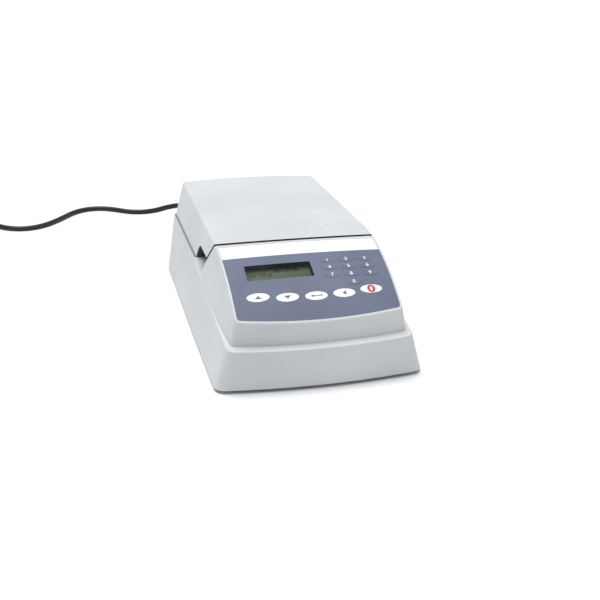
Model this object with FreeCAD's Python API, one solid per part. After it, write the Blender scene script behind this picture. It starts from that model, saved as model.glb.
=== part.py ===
import FreeCAD, Part
import math
import os
from FreeCAD import Vector

# Slide hybridizer: a heated plate for twelve microscope slides under a hinged lid, with a
# control console at the front and a power lead at the back.
# Millimetres. X runs to the right, Y to the back, Z up, and Z = 0 is the bench top.
# The origin is the middle of the body's footprint.

# Base body
overall_depth = 448.4
foot_height = 4.0
rim_height = 83.9
base_half_width = 120.7
rim_half_width = 109.1
wall = 3.5
front_arc_radius = 720.0
rear_arc_radius = 720.0
base_side_radius = 20000.0
rim_side_radius = 1770.0
base_corner_radius = 13.0
front_draft = 0.02
rear_draft = 0.05
hinge_stand_out = 0.9
rim_edge_round = 1.6

# Rim: level at the back, falling straight to the ledge in front of the bend
bend_from_front = 225.8
rim_fall = 0.1595

# Upper form, from which the lid and the console are both taken
lid_inset = 2.4
lid_inset_rear = 3.0
upper_side_draft = 0.21
upper_rear_draft = 0.29
upper_side_radius = 1000.0
upper_taper_from_front = 179.2
upper_corner_radius = 7.0
console_ledge = 11.0
console_front_draft = 0.03
console_front_radius = 640.0
form_bottom_z = 40.0
form_top_z = 140.0

# Top surface: nearly level over the lid, then one arc down the console, slightly crowned
crown_radius = 2800.0
arc_radius = 265.9
arc_centre_from_front = 177.5
arc_top_height = 131.8
lid_top_slope = 0.012
top_edge_round = 1.8

# Gap between the lid and the console
console_back_from_front = 135.7
gap_angle = 45.0
lid_console_gap = 2.0
lid_rim_gap = 0.7

# Finger notches in the lid's lower side edges
notch_height = 104.0
notch_depth = 22.0
notch_round = 15.0
notch_behind_bend = 0.0

# Console panel, measured along its curve
panel_margin = 2.8
panel_clearance = 0.3
panel_top_from_front = 130.3
panel_recess = 2.2
overlay_thickness = 0.5
overlay_sink = 0.1
membrane_thickness = 0.8
key_proud = 0.3
key_travel = 0.4
key_clearance = 0.35
key_length = 25.6
key_width = 11.8
key_pitch = 32.9
key_row_from_front = 40.1
key_row_radius = 540.0
digit_length = 17.5
digit_width = 8.4
digit_pitch_across = 22.7
digit_pitch_along = 12.6
digit_middle_x = 48.5
digit_middle_from_front = 77.7
dome_radius = 3.4
dome_height = 0.3

# Display, its depth measured from the panel to the glass
window_length = 76.7
window_width = 25.0
window_middle_x = -33.8
window_middle_from_front = 77.9
window_film = 0.5
window_film_clearance = 0.1
display_depth = 7.6
bezel_frame = 5.0
bezel_thickness = 0.8
bezel_overlap = 0.3
display_glass_margin = 1.0
display_glass_thickness = 2.8
display_board_thickness = 1.6
display_board_margin = 9.0

# Heated plate with two columns of slide places
slide_rows = 6
slide_length = 76.4
slide_width = 26.2
slide_pocket = 1.2
row_pitch = 29.6
column_gap = 6.0
grip_radius = 8.0
grip_depth = 3.0
grip_from_end = 4.0
plate_margin = 6.0
plate_thickness = 8.0
plate_top_below_rim = 3.9
plate_clearance = 1.0
plate_screw_radius = 1.5
plate_screw_head_radius = 2.4
plate_screw_head = 2.2
plate_screw_sink = 0.6
screw_clearance = 0.2
chamber_behind_bend = 8.0
heater_thickness = 1.5
heater_margin = 9.0
sensor_radius = 2.0
sensor_length = 30.0
sensor_x = 60.0
cutout_radius = 4.5
cutout_height = 4.0
cutout_strap = 1.0

# Frame and seal round the plate
frame_wall = 3.0
frame_flange = 9.0
frame_flange_thickness = 2.5
frame_ledge = 5.0
frame_ledge_thickness = 3.0
frame_clearance = 0.4
seal_width = 3.2
seal_groove = 1.6
seal_groove_clearance = 0.2
seal_outside_wall = 1.2
seal_gap = 0.3

# Shield below the plate, with the fan under it
shield_depth = 12.0
shield_sheet = 1.2
shield_slots = 5
shield_slot_length = 20.0
shield_slot_pitch = 30.0
shield_slot_margin = 3.5
fan_size = 60.0
fan_height = 20.0
fan_bore = 28.4
fan_hub_radius = 12.5
fan_blade_reach = 27.2
fan_blades = 7
fan_blade_thickness = 1.4
fan_corner_hole = 25.0
fan_spindle_radius = 1.5
spindle_clearance = 0.05

# Lid liner with its two troughs for humidity strips
liner_thickness = 2.0
liner_gap = 0.4
liner_dome = 4.0
trough_x = 82.6
trough_width = 6.5
trough_depth = 12.0
trough_end = 14.0
lid_foam_height = 22.0
lid_foam_margin = 4.0
lid_boss_radius = 4.0
lid_boss_x = 95.0
lid_boss_from_bend = 14.0
lid_boss_from_rear = 22.0
lid_screw_radius = 1.4
lid_screw_length = 12.0
lid_screw_head_radius = 2.6
lid_screw_head = 1.3
lid_screw_sink = 0.1
boss_fit = 0.05

# Hinges
hinge_barrel_radius = 4.0
hinge_pin_radius = 2.0
hinge_pin_clearance = 0.05
hinge_middle_x = 75.0
hinge_width = 30.0
hinge_knuckle = 9.4
hinge_leaf_thickness = 2.0
hinge_leaf_height = 22.0
hinge_leaf_relief = 0.6
hinge_pad_clearance = 0.3
hinge_pad_margin = 1.0
hinge_pad_depth_base = 9.0
hinge_pad_depth_lid = 14.0
hinge_knuckle_gap = 0.4
hinge_screw_radius = 1.6
hinge_screw_across = 0.3
hinge_screw_up = 0.62

# Underside
bottom_sheet = 1.5
bottom_sink = 0.5
bottom_clearance = 0.5
foot_radius = 9.0
foot_x = 92.0
foot_from_end = 34.0
boss_radius = 5.0
boss_x = 104.0
boss_from_front = 62.0
boss_from_back = 52.0
boss_below_plate = 4.0
boss_web = 2.4
boss_hole_depth = 15.0
bottom_screw_radius = 1.55
bottom_screw_length = 12.0
bottom_hole_radius = 2.0
vent_width = 3.2
vent_length = 46.0
vent_pitch = 6.6
vent_count = 8

# Power inlet, fuse drawer and switch at the back
inlet_x = 46.0
inlet_z = 33.0
inlet_plate_width = 31.0
inlet_plate_height = 48.0
inlet_plate_thickness = 2.4
inlet_plate_corner = 2.0
inlet_body_inset = 2.1
inlet_body_depth = 26.0
inlet_opening_clearance = 0.3
socket_width = 24.4
socket_height = 16.8
socket_depth = 16.0
socket_chamfer = 4.6
socket_from_edge = 5.0
fuse_width = 21.0
fuse_height = 10.0
fuse_depth = 16.0
fuse_clearance = 0.3
fuse_end_gap = 1.0
fuse_channel = 3.8
fuse_channel_x = 4.6
pin_places = ((-7.0, -1.6), (0.0, 2.4), (7.0, -1.6))
pin_half_width = 1.0
pin_half_height = 2.0
pin_sink = 3.0
switch_x = 86.0
switch_width = 21.0
switch_height = 27.0
switch_depth = 20.0
switch_flange = 1.8
switch_body_inset = 1.5
switch_room_inset = 3.1
switch_room_depth = 13.0
rocker_tilt = 8.0
rocker_side_gap = 0.4
rocker_end_gap = 1.3
rocker_axis_depth = 4.0
trunnion_radius = 1.5
trunnion_length = 1.7
rear_seat_margin = 2.0
rear_seat_sink = 0.4

# Electronics
board_thickness = 1.6
control_board_width = 150.0
control_board_length = 90.0
control_board_from_front = 22.0
supply_board_width = 62.0
supply_board_length = 120.0
supply_board_x = -34.0
supply_board_from_back = 46.0
standoff_radius = 3.0
standoff_height = 6.0
standoff_inset = 5.0
tail_width = 22.0
tail_thickness = 0.3
tail_from_front = 70.0
tail_slit = 1.6

# Power lead
lead_diameter = 7.8
lead_length = 1800.0
connector_fit = 0.4
connector_gap = 0.2
grip_sections = ((27.0, 19.5, 0.0), (25.0, 18.0, 16.0), (15.0, 13.0, 24.0))
relief_start_radius = 6.2
relief_wall = 0.8
connector_relief_length = 30.0
coil_outer_turn = 54.0
coil_turn_spacing = 8.1
coil_lower_turns = 2.0
coil_rise_turns = 0.4
coil_rest = 1.5
tail_run = 34.0
tail_turn = 8.0
tie_width = 14.0
tie_thickness = 1.2
tie_clearance = 0.2
plug_relief_length = 26.0
plug_sections = ((14.0, 13.0, 0.0), (25.0, 23.0, 12.0), (27.0, 25.0, 34.0))
plug_blade_width = 6.35
plug_blade_thickness = 1.5
plug_blade_length = 15.9
plug_blade_pitch = 12.7
plug_ground_radius = 2.4
plug_ground_length = 18.5
plug_ground_offset = 11.9
plug_blade_z = 8.0

# Places worked out from the sizes above
front_y = -overall_depth / 2
back_y = overall_depth / 2
hinge_y = back_y - hinge_barrel_radius
hinge_z = rim_height + lid_rim_gap / 2
hinge_pad_y = hinge_y - hinge_barrel_radius - hinge_pad_clearance
hinge_leaf_low = hinge_z - hinge_leaf_height
hinge_leaf_high = hinge_z + hinge_leaf_height
base_rear_y = back_y - hinge_stand_out
rim_rear_y = base_rear_y - rear_draft * (rim_height - foot_height)
bend_y = front_y + bend_from_front
taper_y = front_y + upper_taper_from_front
arc_y = front_y + arc_centre_from_front
arc_z = arc_top_height - arc_radius
crown_z = arc_top_height - crown_radius
slope_angle = math.atan(lid_top_slope)
console_back_y = front_y + console_back_from_front
plate_top_z = rim_height - plate_top_below_rim
plate_bottom_z = plate_top_z - plate_thickness
plate_half_x = slide_length + column_gap / 2 + plate_margin
plate_half_y = slide_rows * row_pitch / 2 + plate_margin / 2
chamber_half_x = plate_half_x + plate_clearance
chamber_half_y = plate_half_y + plate_clearance
chamber_y = bend_y + chamber_behind_bend + chamber_half_y
bottom_z = foot_height + bottom_sink
bottom_inner_z = bottom_z + bottom_sheet
lid_bottom_z = rim_height + lid_rim_gap
liner_z = lid_bottom_z
frame_outer_x = chamber_half_x + frame_wall
frame_outer_y = chamber_half_y + frame_wall
frame_bottom_z = plate_bottom_z - frame_ledge_thickness
shield_bottom_z = frame_bottom_z - shield_depth - shield_sheet
shelf_z = rim_height - frame_flange_thickness
inlet_low_z = inlet_z - inlet_plate_height / 2
inlet_high_z = inlet_z + inlet_plate_height / 2
socket_z = inlet_low_z + socket_from_edge + socket_height / 2
fuse_z = inlet_high_z - socket_from_edge - fuse_height / 2
board_z = bottom_inner_z + standoff_height
board_top_z = board_z + board_thickness
membrane_top = -panel_recess + membrane_thickness
far = 400.0


def box(x0, x1, y0, y1, z0, z1):
    """A block between two corners."""
    return Part.makeBox(x1 - x0, y1 - y0, z1 - z0, Vector(x0, y0, z0))


def rod(x, y, z, radius, length, direction=(0, 0, 1)):
    """A cylinder from a point along a direction."""
    return Part.makeCylinder(radius, length, Vector(x, y, z), Vector(*direction))


def face_of(points):
    """A flat face through corner points."""
    return Part.Face(Part.makePolygon([Vector(*p) for p in points] + [Vector(*points[0])]))


def side_prism(corners, half_width=far):
    """A (y, z) outline carried across the body from -half_width to half_width."""
    face = face_of([(-half_width, y, z) for y, z in corners])
    return face.extrude(Vector(2 * half_width, 0, 0))


def mirrored(shape):
    """The same shape on the other side of the middle plane."""
    return shape.mirror(Vector(0, 0, 0), Vector(1, 0, 0))


def both_sides(shape):
    """A shape with its mirror image, as one group."""
    return [shape, mirrored(shape)]


def joined(shapes):
    """One shape from several that touch or overlap."""
    return shapes[0].multiFuse(shapes[1:]).removeSplitter()


def save(name, shape):
    """Write one sub-part, as a solid or as a group of solids."""
    solids = shape if isinstance(shape, list) else [shape]
    parts = [solid for item in solids for solid in item.Solids]
    result = parts[0] if len(parts) == 1 else Part.makeCompound(parts)
    result.exportStep("parts/%s.step" % name)


def circle_meeting(centre_a, reach_a, centre_b, reach_b):
    """The front one of the two points at reach_a from centre_a and reach_b from centre_b."""
    gap_x = centre_b[0] - centre_a[0]
    gap_y = centre_b[1] - centre_a[1]
    gap = math.hypot(gap_x, gap_y)
    along = (gap * gap + reach_a * reach_a - reach_b * reach_b) / (2 * gap)
    across = math.sqrt(reach_a * reach_a - along * along)
    meetings = []
    for side in (-1, 1):
        x = centre_a[0] + (along * gap_x - side * across * gap_y) / gap
        y = centre_a[1] + (along * gap_y + side * across * gap_x) / gap
        meetings.append((x, y))
    return min(meetings, key=lambda point: point[1])


def away(centre, point, radius):
    """The point on a circle in the direction of another point."""
    reach = math.hypot(point[0] - centre[0], point[1] - centre[1])
    scale = radius / reach
    return (centre[0] + (point[0] - centre[0]) * scale, centre[1] + (point[1] - centre[1]) * scale)


def plan_outline(half, front, rear, front_radius, rear_radius, side_radius, side_y, corner, z, inset):
    """A plan outline with bowed front, rear and front sides and rounded corners."""
    half = half - inset
    front = front + inset
    rear = rear - inset
    front_radius = front_radius - inset
    rear_radius = rear_radius - inset
    side_radius = side_radius - inset
    corner = max(corner - inset, 1.0)
    front_centre = (0, front + front_radius)
    rear_centre = (0, rear - rear_radius)
    side_centre = (half - side_radius, side_y)
    front_corner = circle_meeting(front_centre, front_radius - corner,
                                  side_centre, side_radius - corner)
    rear_x = half - corner
    rear_corner = (rear_x, rear_centre[1] + math.sqrt((rear_radius - corner) ** 2 - rear_x ** 2))
    front_end = away(front_centre, front_corner, front_radius)
    side_end = away(side_centre, front_corner, side_radius)
    rear_side = (half, rear_corner[1])
    rear_end = away(rear_centre, rear_corner, rear_radius)
    side_middle = ((side_end[0] + half) / 2, (side_end[1] + side_y) / 2)
    side_middle = away(side_centre, side_middle, side_radius)
    front_bit = ((front_end[0] + side_end[0]) / 2, (front_end[1] + side_end[1]) / 2)
    front_bit = away(front_corner, front_bit, corner)
    rear_bit = ((rear_end[0] + rear_side[0]) / 2, (rear_end[1] + rear_side[1]) / 2)
    rear_bit = away(rear_corner, rear_bit, corner)

    def at(point, sign=1):
        return Vector(sign * point[0], point[1], z)

    def arc(a, b, c, sign=1):
        return Part.Arc(at(a, sign), at(b, sign), at(c, sign)).toShape()

    edges = [Part.Arc(at(front_end, -1), Vector(0, front, z), at(front_end)).toShape(),
             arc(front_end, front_bit, side_end),
             arc(side_end, side_middle, (half, side_y)),
             Part.LineSegment(at((half, side_y)), at(rear_side)).toShape(),
             arc(rear_side, rear_bit, rear_end),
             Part.Arc(at(rear_end), Vector(0, rear, z), at(rear_end, -1)).toShape(),
             arc(rear_end, rear_bit, rear_side, -1),
             Part.LineSegment(at(rear_side, -1), at((half, side_y), -1)).toShape(),
             arc((half, side_y), side_middle, side_end, -1),
             arc(side_end, front_bit, front_end, -1)]
    return Part.Wire(edges)


def base_form(inset):
    """The drafted base body from its lower edge up to rim height, before the rim is cut."""
    rise = rim_height - foot_height
    low = plan_outline(base_half_width, front_y, base_rear_y, front_arc_radius, rear_arc_radius,
                       base_side_radius, bend_y, base_corner_radius, foot_height, inset)
    high = plan_outline(rim_half_width, front_y + front_draft * rise, rim_rear_y, front_arc_radius,
                        rear_arc_radius, rim_side_radius, bend_y, base_corner_radius,
                        rim_height, inset)
    return Part.makeLoft([low, high], True, True)


def upper_form(inset):
    """The drafted plan form that the lid and the console share."""
    def level(z):
        rise = z - rim_height
        half = rim_half_width - lid_inset - upper_side_draft * rise
        front = front_y + console_ledge + console_front_draft * (z - form_bottom_z)
        rear = rim_rear_y - lid_inset_rear - upper_rear_draft * rise
        return plan_outline(half, front, rear, console_front_radius, rear_arc_radius,
                            upper_side_radius, taper_y, upper_corner_radius, z, inset)
    return Part.makeLoft([level(form_bottom_z), level(form_top_z)], True, True)


def rim_z(y):
    """Height of the rim line at a depth."""
    return rim_height if y >= bend_y else rim_height - rim_fall * (bend_y - y)


def above_rim(offset):
    """Everything above the rim line raised by an offset."""
    return side_prism([(-far, rim_z(-far) + offset), (bend_y, rim_height + offset),
                       (far, rim_height + offset), (far, far), (-far, far)])


def arc_point(angle, radius):
    """A point of the console arc, by its slope angle, in the middle plane."""
    return Vector(0, arc_y - radius * math.sin(angle), arc_z + radius * math.cos(angle))


def crowned(face):
    """A face in the middle plane turned about the crown's long axis, to both sides."""
    turn = math.degrees(math.asin((base_half_width + wall) / crown_radius))
    start = face.copy()
    start.rotate(Vector(0, 0, crown_z), Vector(0, 1, 0), -turn)
    return start.revolve(Vector(0, 0, crown_z), Vector(0, 1, 0), 2 * turn)


def under_top(offset):
    """Everything under the top surface moved outwards by an offset."""
    radius = arc_radius + offset
    steep = math.radians(60)
    front = arc_point(steep, radius)
    middle = arc_point((steep - slope_angle) / 2, radius)
    bend = arc_point(-slope_angle, radius)
    back = Vector(0, far, bend.z + lid_top_slope * (far - bend.y))
    edges = [Part.Arc(front, middle, bend).toShape(),
             Part.LineSegment(bend, back).toShape(),
             Part.LineSegment(back, Vector(0, far, -wall)).toShape(),
             Part.LineSegment(Vector(0, far, -wall), Vector(0, front.y, -wall)).toShape(),
             Part.LineSegment(Vector(0, front.y, -wall), front).toShape()]
    return crowned(Part.Face(Part.Wire(edges)))


def panel_layer(inner, outer):
    """A curved sheet that follows the console panel between two offsets from it."""
    steep = math.radians(50)
    flat = math.radians(2)
    middle = (steep + flat) / 2
    low = [arc_point(angle, arc_radius + inner) for angle in (flat, middle, steep)]
    high = [arc_point(angle, arc_radius + outer) for angle in (flat, middle, steep)]
    edges = [Part.Arc(low[0], low[1], low[2]).toShape(),
             Part.LineSegment(low[2], high[2]).toShape(),
             Part.Arc(high[2], high[1], high[0]).toShape(),
             Part.LineSegment(high[0], low[0]).toShape()]
    return crowned(Part.Face(Part.Wire(edges)))


def gap_plane(shift, forward):
    """Everything in front of, or behind, the slanted back of the console moved by a shift."""
    edge_z = arc_z + math.sqrt(arc_radius ** 2 - (console_back_y - arc_y) ** 2)
    tilt = math.radians(gap_angle)
    step_y = shift / math.sin(tilt)
    low_y = console_back_y + step_y + edge_z / math.tan(tilt)
    high_y = console_back_y + step_y - (far - edge_z) / math.tan(tilt)
    end = -2 * far if forward else 2 * far
    return side_prism([(low_y, 0), (high_y, far), (end, far), (end, 0)])


def panel_place(x, from_front):
    """A point on the console panel and the outward direction there."""
    y = front_y + from_front
    angle = math.asin((arc_y - y) / arc_radius)
    turn = math.asin(x / crown_radius)
    point = arc_point(angle, arc_radius)
    reach = point.z - crown_z
    place = Vector(reach * math.sin(turn), y, crown_z + reach * math.cos(turn))
    out = Vector(math.sin(turn) * math.cos(angle), -math.sin(angle), math.cos(turn) * math.cos(angle))
    return place, out


def along_panel(from_front, distance):
    """The depth from the front reached by going up the panel's curve by a distance."""
    angle = math.asin((arc_y - front_y - from_front) / arc_radius)
    angle = angle - distance / arc_radius
    return arc_y - arc_radius * math.sin(angle) - front_y


def placed_on_panel(face, x, from_front, low, high):
    """A flat face drawn on XY, stood on the panel and thickened along the normal there."""
    place, out = panel_place(x, from_front)
    turned = face.copy()
    turned.Placement = FreeCAD.Placement(place + out * low, FreeCAD.Rotation(Vector(0, 0, 1), out))
    return turned.extrude(out * (high - low))


def oval(length, width):
    """An elliptic face, long side across the body."""
    curve = Part.Ellipse(Vector(0, 0, 0), length / 2, width / 2)
    return Part.Face(Part.Wire([curve.toShape()]))


def oblong(length, width):
    """A rectangular face about its middle."""
    return face_of([(-length / 2, -width / 2, 0), (length / 2, -width / 2, 0),
                    (length / 2, width / 2, 0), (-length / 2, width / 2, 0)])


def key_places():
    """Name, place and size of every key on the panel."""
    places = []
    names = ["key_up", "key_down", "key_enter", "key_back", "key_stop"]
    for index, name in enumerate(names):
        x = (index - 2) * key_pitch
        sag = x * x / (2 * key_row_radius)
        places.append((name, x, key_row_from_front + sag, key_length, key_width))
    for number in range(1, 10):
        column = (number - 1) % 3 - 1
        row = (number - 1) // 3
        from_front = along_panel(digit_middle_from_front, (1 - row) * digit_pitch_along)
        x = digit_middle_x + column * digit_pitch_across
        places.append(("key_%d" % number, x, from_front, digit_length, digit_width))
    from_front = along_panel(digit_middle_from_front, -2 * digit_pitch_along)
    places.append(("key_0", digit_middle_x, from_front, digit_length, digit_width))
    return places


def rounded(shape, radius, wanted):
    """Fillet the edges of a shape whose middle points are wanted."""
    edges = []
    for edge in shape.Edges:
        middle = edge.valueAt((edge.FirstParameter + edge.LastParameter) / 2)
        if wanted(middle, edge):
            edges.append(edge)
    return shape.makeFillet(radius, edges)


def on_top_surface(point):
    """Whether a point lies on the crowned top surface."""
    radius = math.hypot(point.x, point.z - crown_z)
    z = crown_z + radius
    bend_at = arc_y - arc_radius * math.sin(-slope_angle)
    if point.y > bend_at:
        top = arc_z + arc_radius * math.cos(slope_angle) + lid_top_slope * (point.y - bend_at)
    else:
        top = arc_z + math.sqrt(arc_radius ** 2 - (point.y - arc_y) ** 2)
    return abs(z - top) < 0.05


def screw_places():
    """Where the bottom plate is screwed to the base, on the right-hand side."""
    return [(boss_x, front_y + boss_from_front), (boss_x, 0.0), (boss_x, back_y - boss_from_back)]


def make_base_housing():
    """The moulded base with its ledge, deck and console."""
    body = base_form(0).cut(above_rim(0))
    body = rounded(body, rim_edge_round, lambda p, e: (
        abs(p.z - rim_z(p.y)) < 0.01 and abs(p.y - bend_y) > 1))
    console = upper_form(0).common(under_top(0)).common(gap_plane(0, True))
    console = console.common(above_rim(-wall))
    console = rounded(console, top_edge_round, lambda p, e: (
        on_top_surface(p) and p.y < console_back_y - 1))
    base_room = base_form(wall).cut(above_rim(-wall))
    console_room = upper_form(wall).common(under_top(-panel_recess - wall))
    console_room = console_room.common(gap_plane(-wall, True)).common(above_rim(-2 * wall))
    shell = body.fuse(console).cut(base_room).cut(console_room)
    shell = cut_panel_recess(shell)
    shell = cut_chamber_opening(shell)
    shell = add_rear_seat(shell)
    return add_base_fixings(shell)


def cut_panel_recess(shell):
    """The recess of the overlay, the display window and the slit of the keypad's tail."""
    recess = upper_form(panel_margin - panel_clearance).common(panel_layer(-panel_recess, far / 10))
    recess = recess.cut(box(-far, far, front_y + panel_top_from_front + panel_clearance, far, 0, far))
    window = placed_on_panel(oblong(window_length, window_width), window_middle_x,
                             window_middle_from_front, -far / 10, far / 10)
    slit_y = front_y + tail_from_front
    slit_half = tail_width / 2 + panel_clearance
    slit = box(digit_middle_x - slit_half, digit_middle_x + slit_half,
               slit_y - tail_slit / 2, slit_y + tail_slit / 2, rim_height, far)
    return shell.cut(recess).cut(window).cut(slit)


def cut_chamber_opening(shell):
    """The opening for the chamber frame, with a shelf under the frame's flange."""
    reach_x = frame_outer_x + frame_clearance
    reach_y = frame_outer_y + frame_clearance
    opening = box(-reach_x, reach_x, chamber_y - reach_y, chamber_y + reach_y,
                  rim_height - 2 * wall, rim_height + 1)
    seat_x = flange_reach_x() + frame_clearance
    seat_front = flange_front_y() - frame_clearance
    seat_back = flange_back_y() + frame_clearance
    seat = box(-seat_x, seat_x, seat_front, seat_back, shelf_z, rim_height + 1)
    shelf = box(-seat_x - wall, seat_x + wall, seat_front - wall, seat_back + wall,
                shelf_z - wall, shelf_z)
    return shell.fuse(shelf.common(base_form(wall / 2))).cut(opening).cut(seat)


def flange_reach_x():
    """Half the width of the chamber frame's flange."""
    return frame_outer_x + frame_flange - frame_wall


def flange_front_y():
    """Front edge of the chamber frame's flange, kept on the level part of the rim."""
    return max(chamber_y - frame_outer_y - frame_flange + frame_wall, bend_y + 1.0)


def flange_back_y():
    """Rear edge of the chamber frame's flange."""
    return chamber_y + frame_outer_y + frame_flange - frame_wall


def hinge_pad(depth, z0, z1):
    """The thickened wall that a hinge leaf is screwed to."""
    half = hinge_width / 2 + hinge_pad_margin
    return box(hinge_middle_x - half, hinge_middle_x + half, hinge_pad_y - depth, hinge_pad_y, z0, z1)


def pad_relief(z0, z1):
    """The space behind a hinge pad that its leaf needs."""
    half = hinge_width / 2 + hinge_pad_margin
    return box(hinge_middle_x - half, hinge_middle_x + half, hinge_pad_y, back_y + wall, z0, z1)


def add_base_fixings(shell):
    """Screw bosses with webs to the side walls, and the hinge pads."""
    low = hinge_leaf_low - hinge_pad_margin
    for side in both_sides(hinge_pad(hinge_pad_depth_base, low, rim_height)):
        shell = shell.fuse(side)
    for side in both_sides(pad_relief(low, rim_height + 1)):
        shell = shell.cut(side)
    for x, y in screw_places():
        top = min(rim_z(y) - 2 * wall, frame_bottom_z - boss_below_plate)
        boss = rod(x, y, bottom_inner_z, boss_radius, top - bottom_inner_z)
        web = box(x, base_half_width, y - boss_web / 2, y + boss_web / 2, bottom_inner_z, top)
        post = boss.fuse(web).common(base_form(wall / 2))
        hole = rod(x, y, bottom_inner_z, bottom_screw_radius + boss_fit, boss_hole_depth)
        for side in both_sides(post.cut(hole)):
            shell = shell.fuse(side)
    return shell


def rear_wall_y(x, z):
    """Depth of the outer face of the rear wall."""
    middle = base_rear_y - rear_draft * (z - foot_height)
    return middle - rear_arc_radius + math.sqrt(rear_arc_radius ** 2 - x * x)


def rear_seat_y():
    """The flat, shared seat of the inlet and the switch, sunk in the curved rear wall."""
    return rear_wall_y(switch_x + switch_width / 2 + rear_seat_margin, inlet_high_z) - rear_seat_sink


def add_rear_seat(shell):
    """The flat seat with its backing, and the openings for the inlet and the switch."""
    seat = rear_seat_y()
    left = inlet_x - inlet_plate_width / 2 - rear_seat_margin
    right = switch_x + switch_width / 2 + rear_seat_margin
    low = inlet_low_z - rear_seat_margin
    high = inlet_high_z + rear_seat_margin
    backing = box(left - wall, right + wall, seat - wall, back_y,
                  max(low - wall, bottom_inner_z + bottom_clearance), high + wall)
    flat = box(left, right, seat, back_y + wall, low, high)
    reach = inlet_plate_width / 2 - inlet_body_inset + inlet_opening_clearance
    rise = inlet_plate_height / 2 - inlet_body_inset + inlet_opening_clearance
    inlet = box(inlet_x - reach, inlet_x + reach, seat - 2 * wall, seat + 1, inlet_z - rise, inlet_z + rise)
    reach = switch_width / 2 - switch_body_inset + inlet_opening_clearance
    rise = switch_height / 2 - switch_body_inset + inlet_opening_clearance
    switch = box(switch_x - reach, switch_x + reach, seat - 2 * wall, seat + 1,
                 inlet_z - rise, inlet_z + rise)
    return shell.fuse(backing.common(base_form(wall / 2))).cut(flat).cut(inlet).cut(switch)


def notch():
    """The finger notch on the right: level top, curved back, open to the side and below."""
    back = bend_y - notch_behind_bend
    corner = back - notch_round
    top = notch_height
    start = Vector(0, back, rim_height - 1)
    end = Vector(0, corner, top)
    middle = Vector(0, back - 0.22 * notch_round, rim_height + 0.62 * (top - rim_height))
    front = front_y + 60.0
    low = rim_height - 20.0
    edges = [Part.Arc(start, middle, end).toShape(),
             Part.LineSegment(end, Vector(0, front, top)).toShape(),
             Part.LineSegment(Vector(0, front, top), Vector(0, front, low)).toShape(),
             Part.LineSegment(Vector(0, front, low), Vector(0, back, low)).toShape(),
             Part.LineSegment(Vector(0, back, low), start).toShape()]
    face = Part.Face(Part.Wire(edges))
    face.translate(Vector(notch_inner_x(), 0, 0))
    return face.extrude(Vector(far, 0, 0))


def notch_inner_x():
    """How far from the middle the notch's inner wall stands."""
    return rim_half_width - lid_inset - notch_depth


def notch_wall():
    """The notch with a wall's thickness round it, kept solid inside the lid."""
    front = front_y + 60.0
    back = bend_y - notch_behind_bend + wall
    block = box(notch_inner_x() - wall, far, front, back, rim_height - 20, notch_height + wall)
    return block


def make_lid_shell():
    """The moulded lid, with its notches, liner bosses and hinge pads."""
    form = upper_form(0).common(under_top(0)).common(gap_plane(lid_console_gap, False))
    form = form.cut(side_prism([(-far, rim_z(-far) + lid_rim_gap), (bend_y, lid_bottom_z),
                                (far, lid_bottom_z), (far, 0), (-far, 0)]))
    form = rounded(form, top_edge_round, lambda p, e: (
        on_top_surface(p) and p.y > console_back_y + 5))
    room = upper_form(wall).common(under_top(-wall)).common(gap_plane(lid_console_gap + wall, False))
    room = room.cut(box(-far, far, -far, far, -far, rim_height - 12))
    for side in both_sides(notch_wall()):
        room = room.cut(side)
    shell = form.cut(room)
    for side in both_sides(notch()):
        shell = shell.cut(side)
    inside = upper_form(wall / 2).common(under_top(-wall / 2))
    for x, y in lid_screw_places():
        boss = rod(x, y, liner_z + liner_thickness, lid_boss_radius, far / 4).common(inside)
        boss = boss.cut(rod(x, y, liner_z, lid_screw_radius + boss_fit, lid_screw_length + liner_thickness))
        shell = shell.fuse(boss).fuse(mirrored(boss))
    pad = hinge_pad(hinge_pad_depth_lid, lid_bottom_z, hinge_leaf_high + hinge_pad_margin)
    relief = pad_relief(0, far)
    for side in both_sides(pad):
        shell = shell.fuse(side)
    for side in both_sides(relief):
        shell = shell.cut(side)
    return shell


def lid_screw_places():
    """Where the liner is screwed up into the lid, on the right-hand side."""
    return [(lid_boss_x, bend_y + lid_boss_from_bend), (lid_boss_x, chamber_y),
            (lid_boss_x, rim_rear_y - lid_boss_from_rear)]


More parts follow.
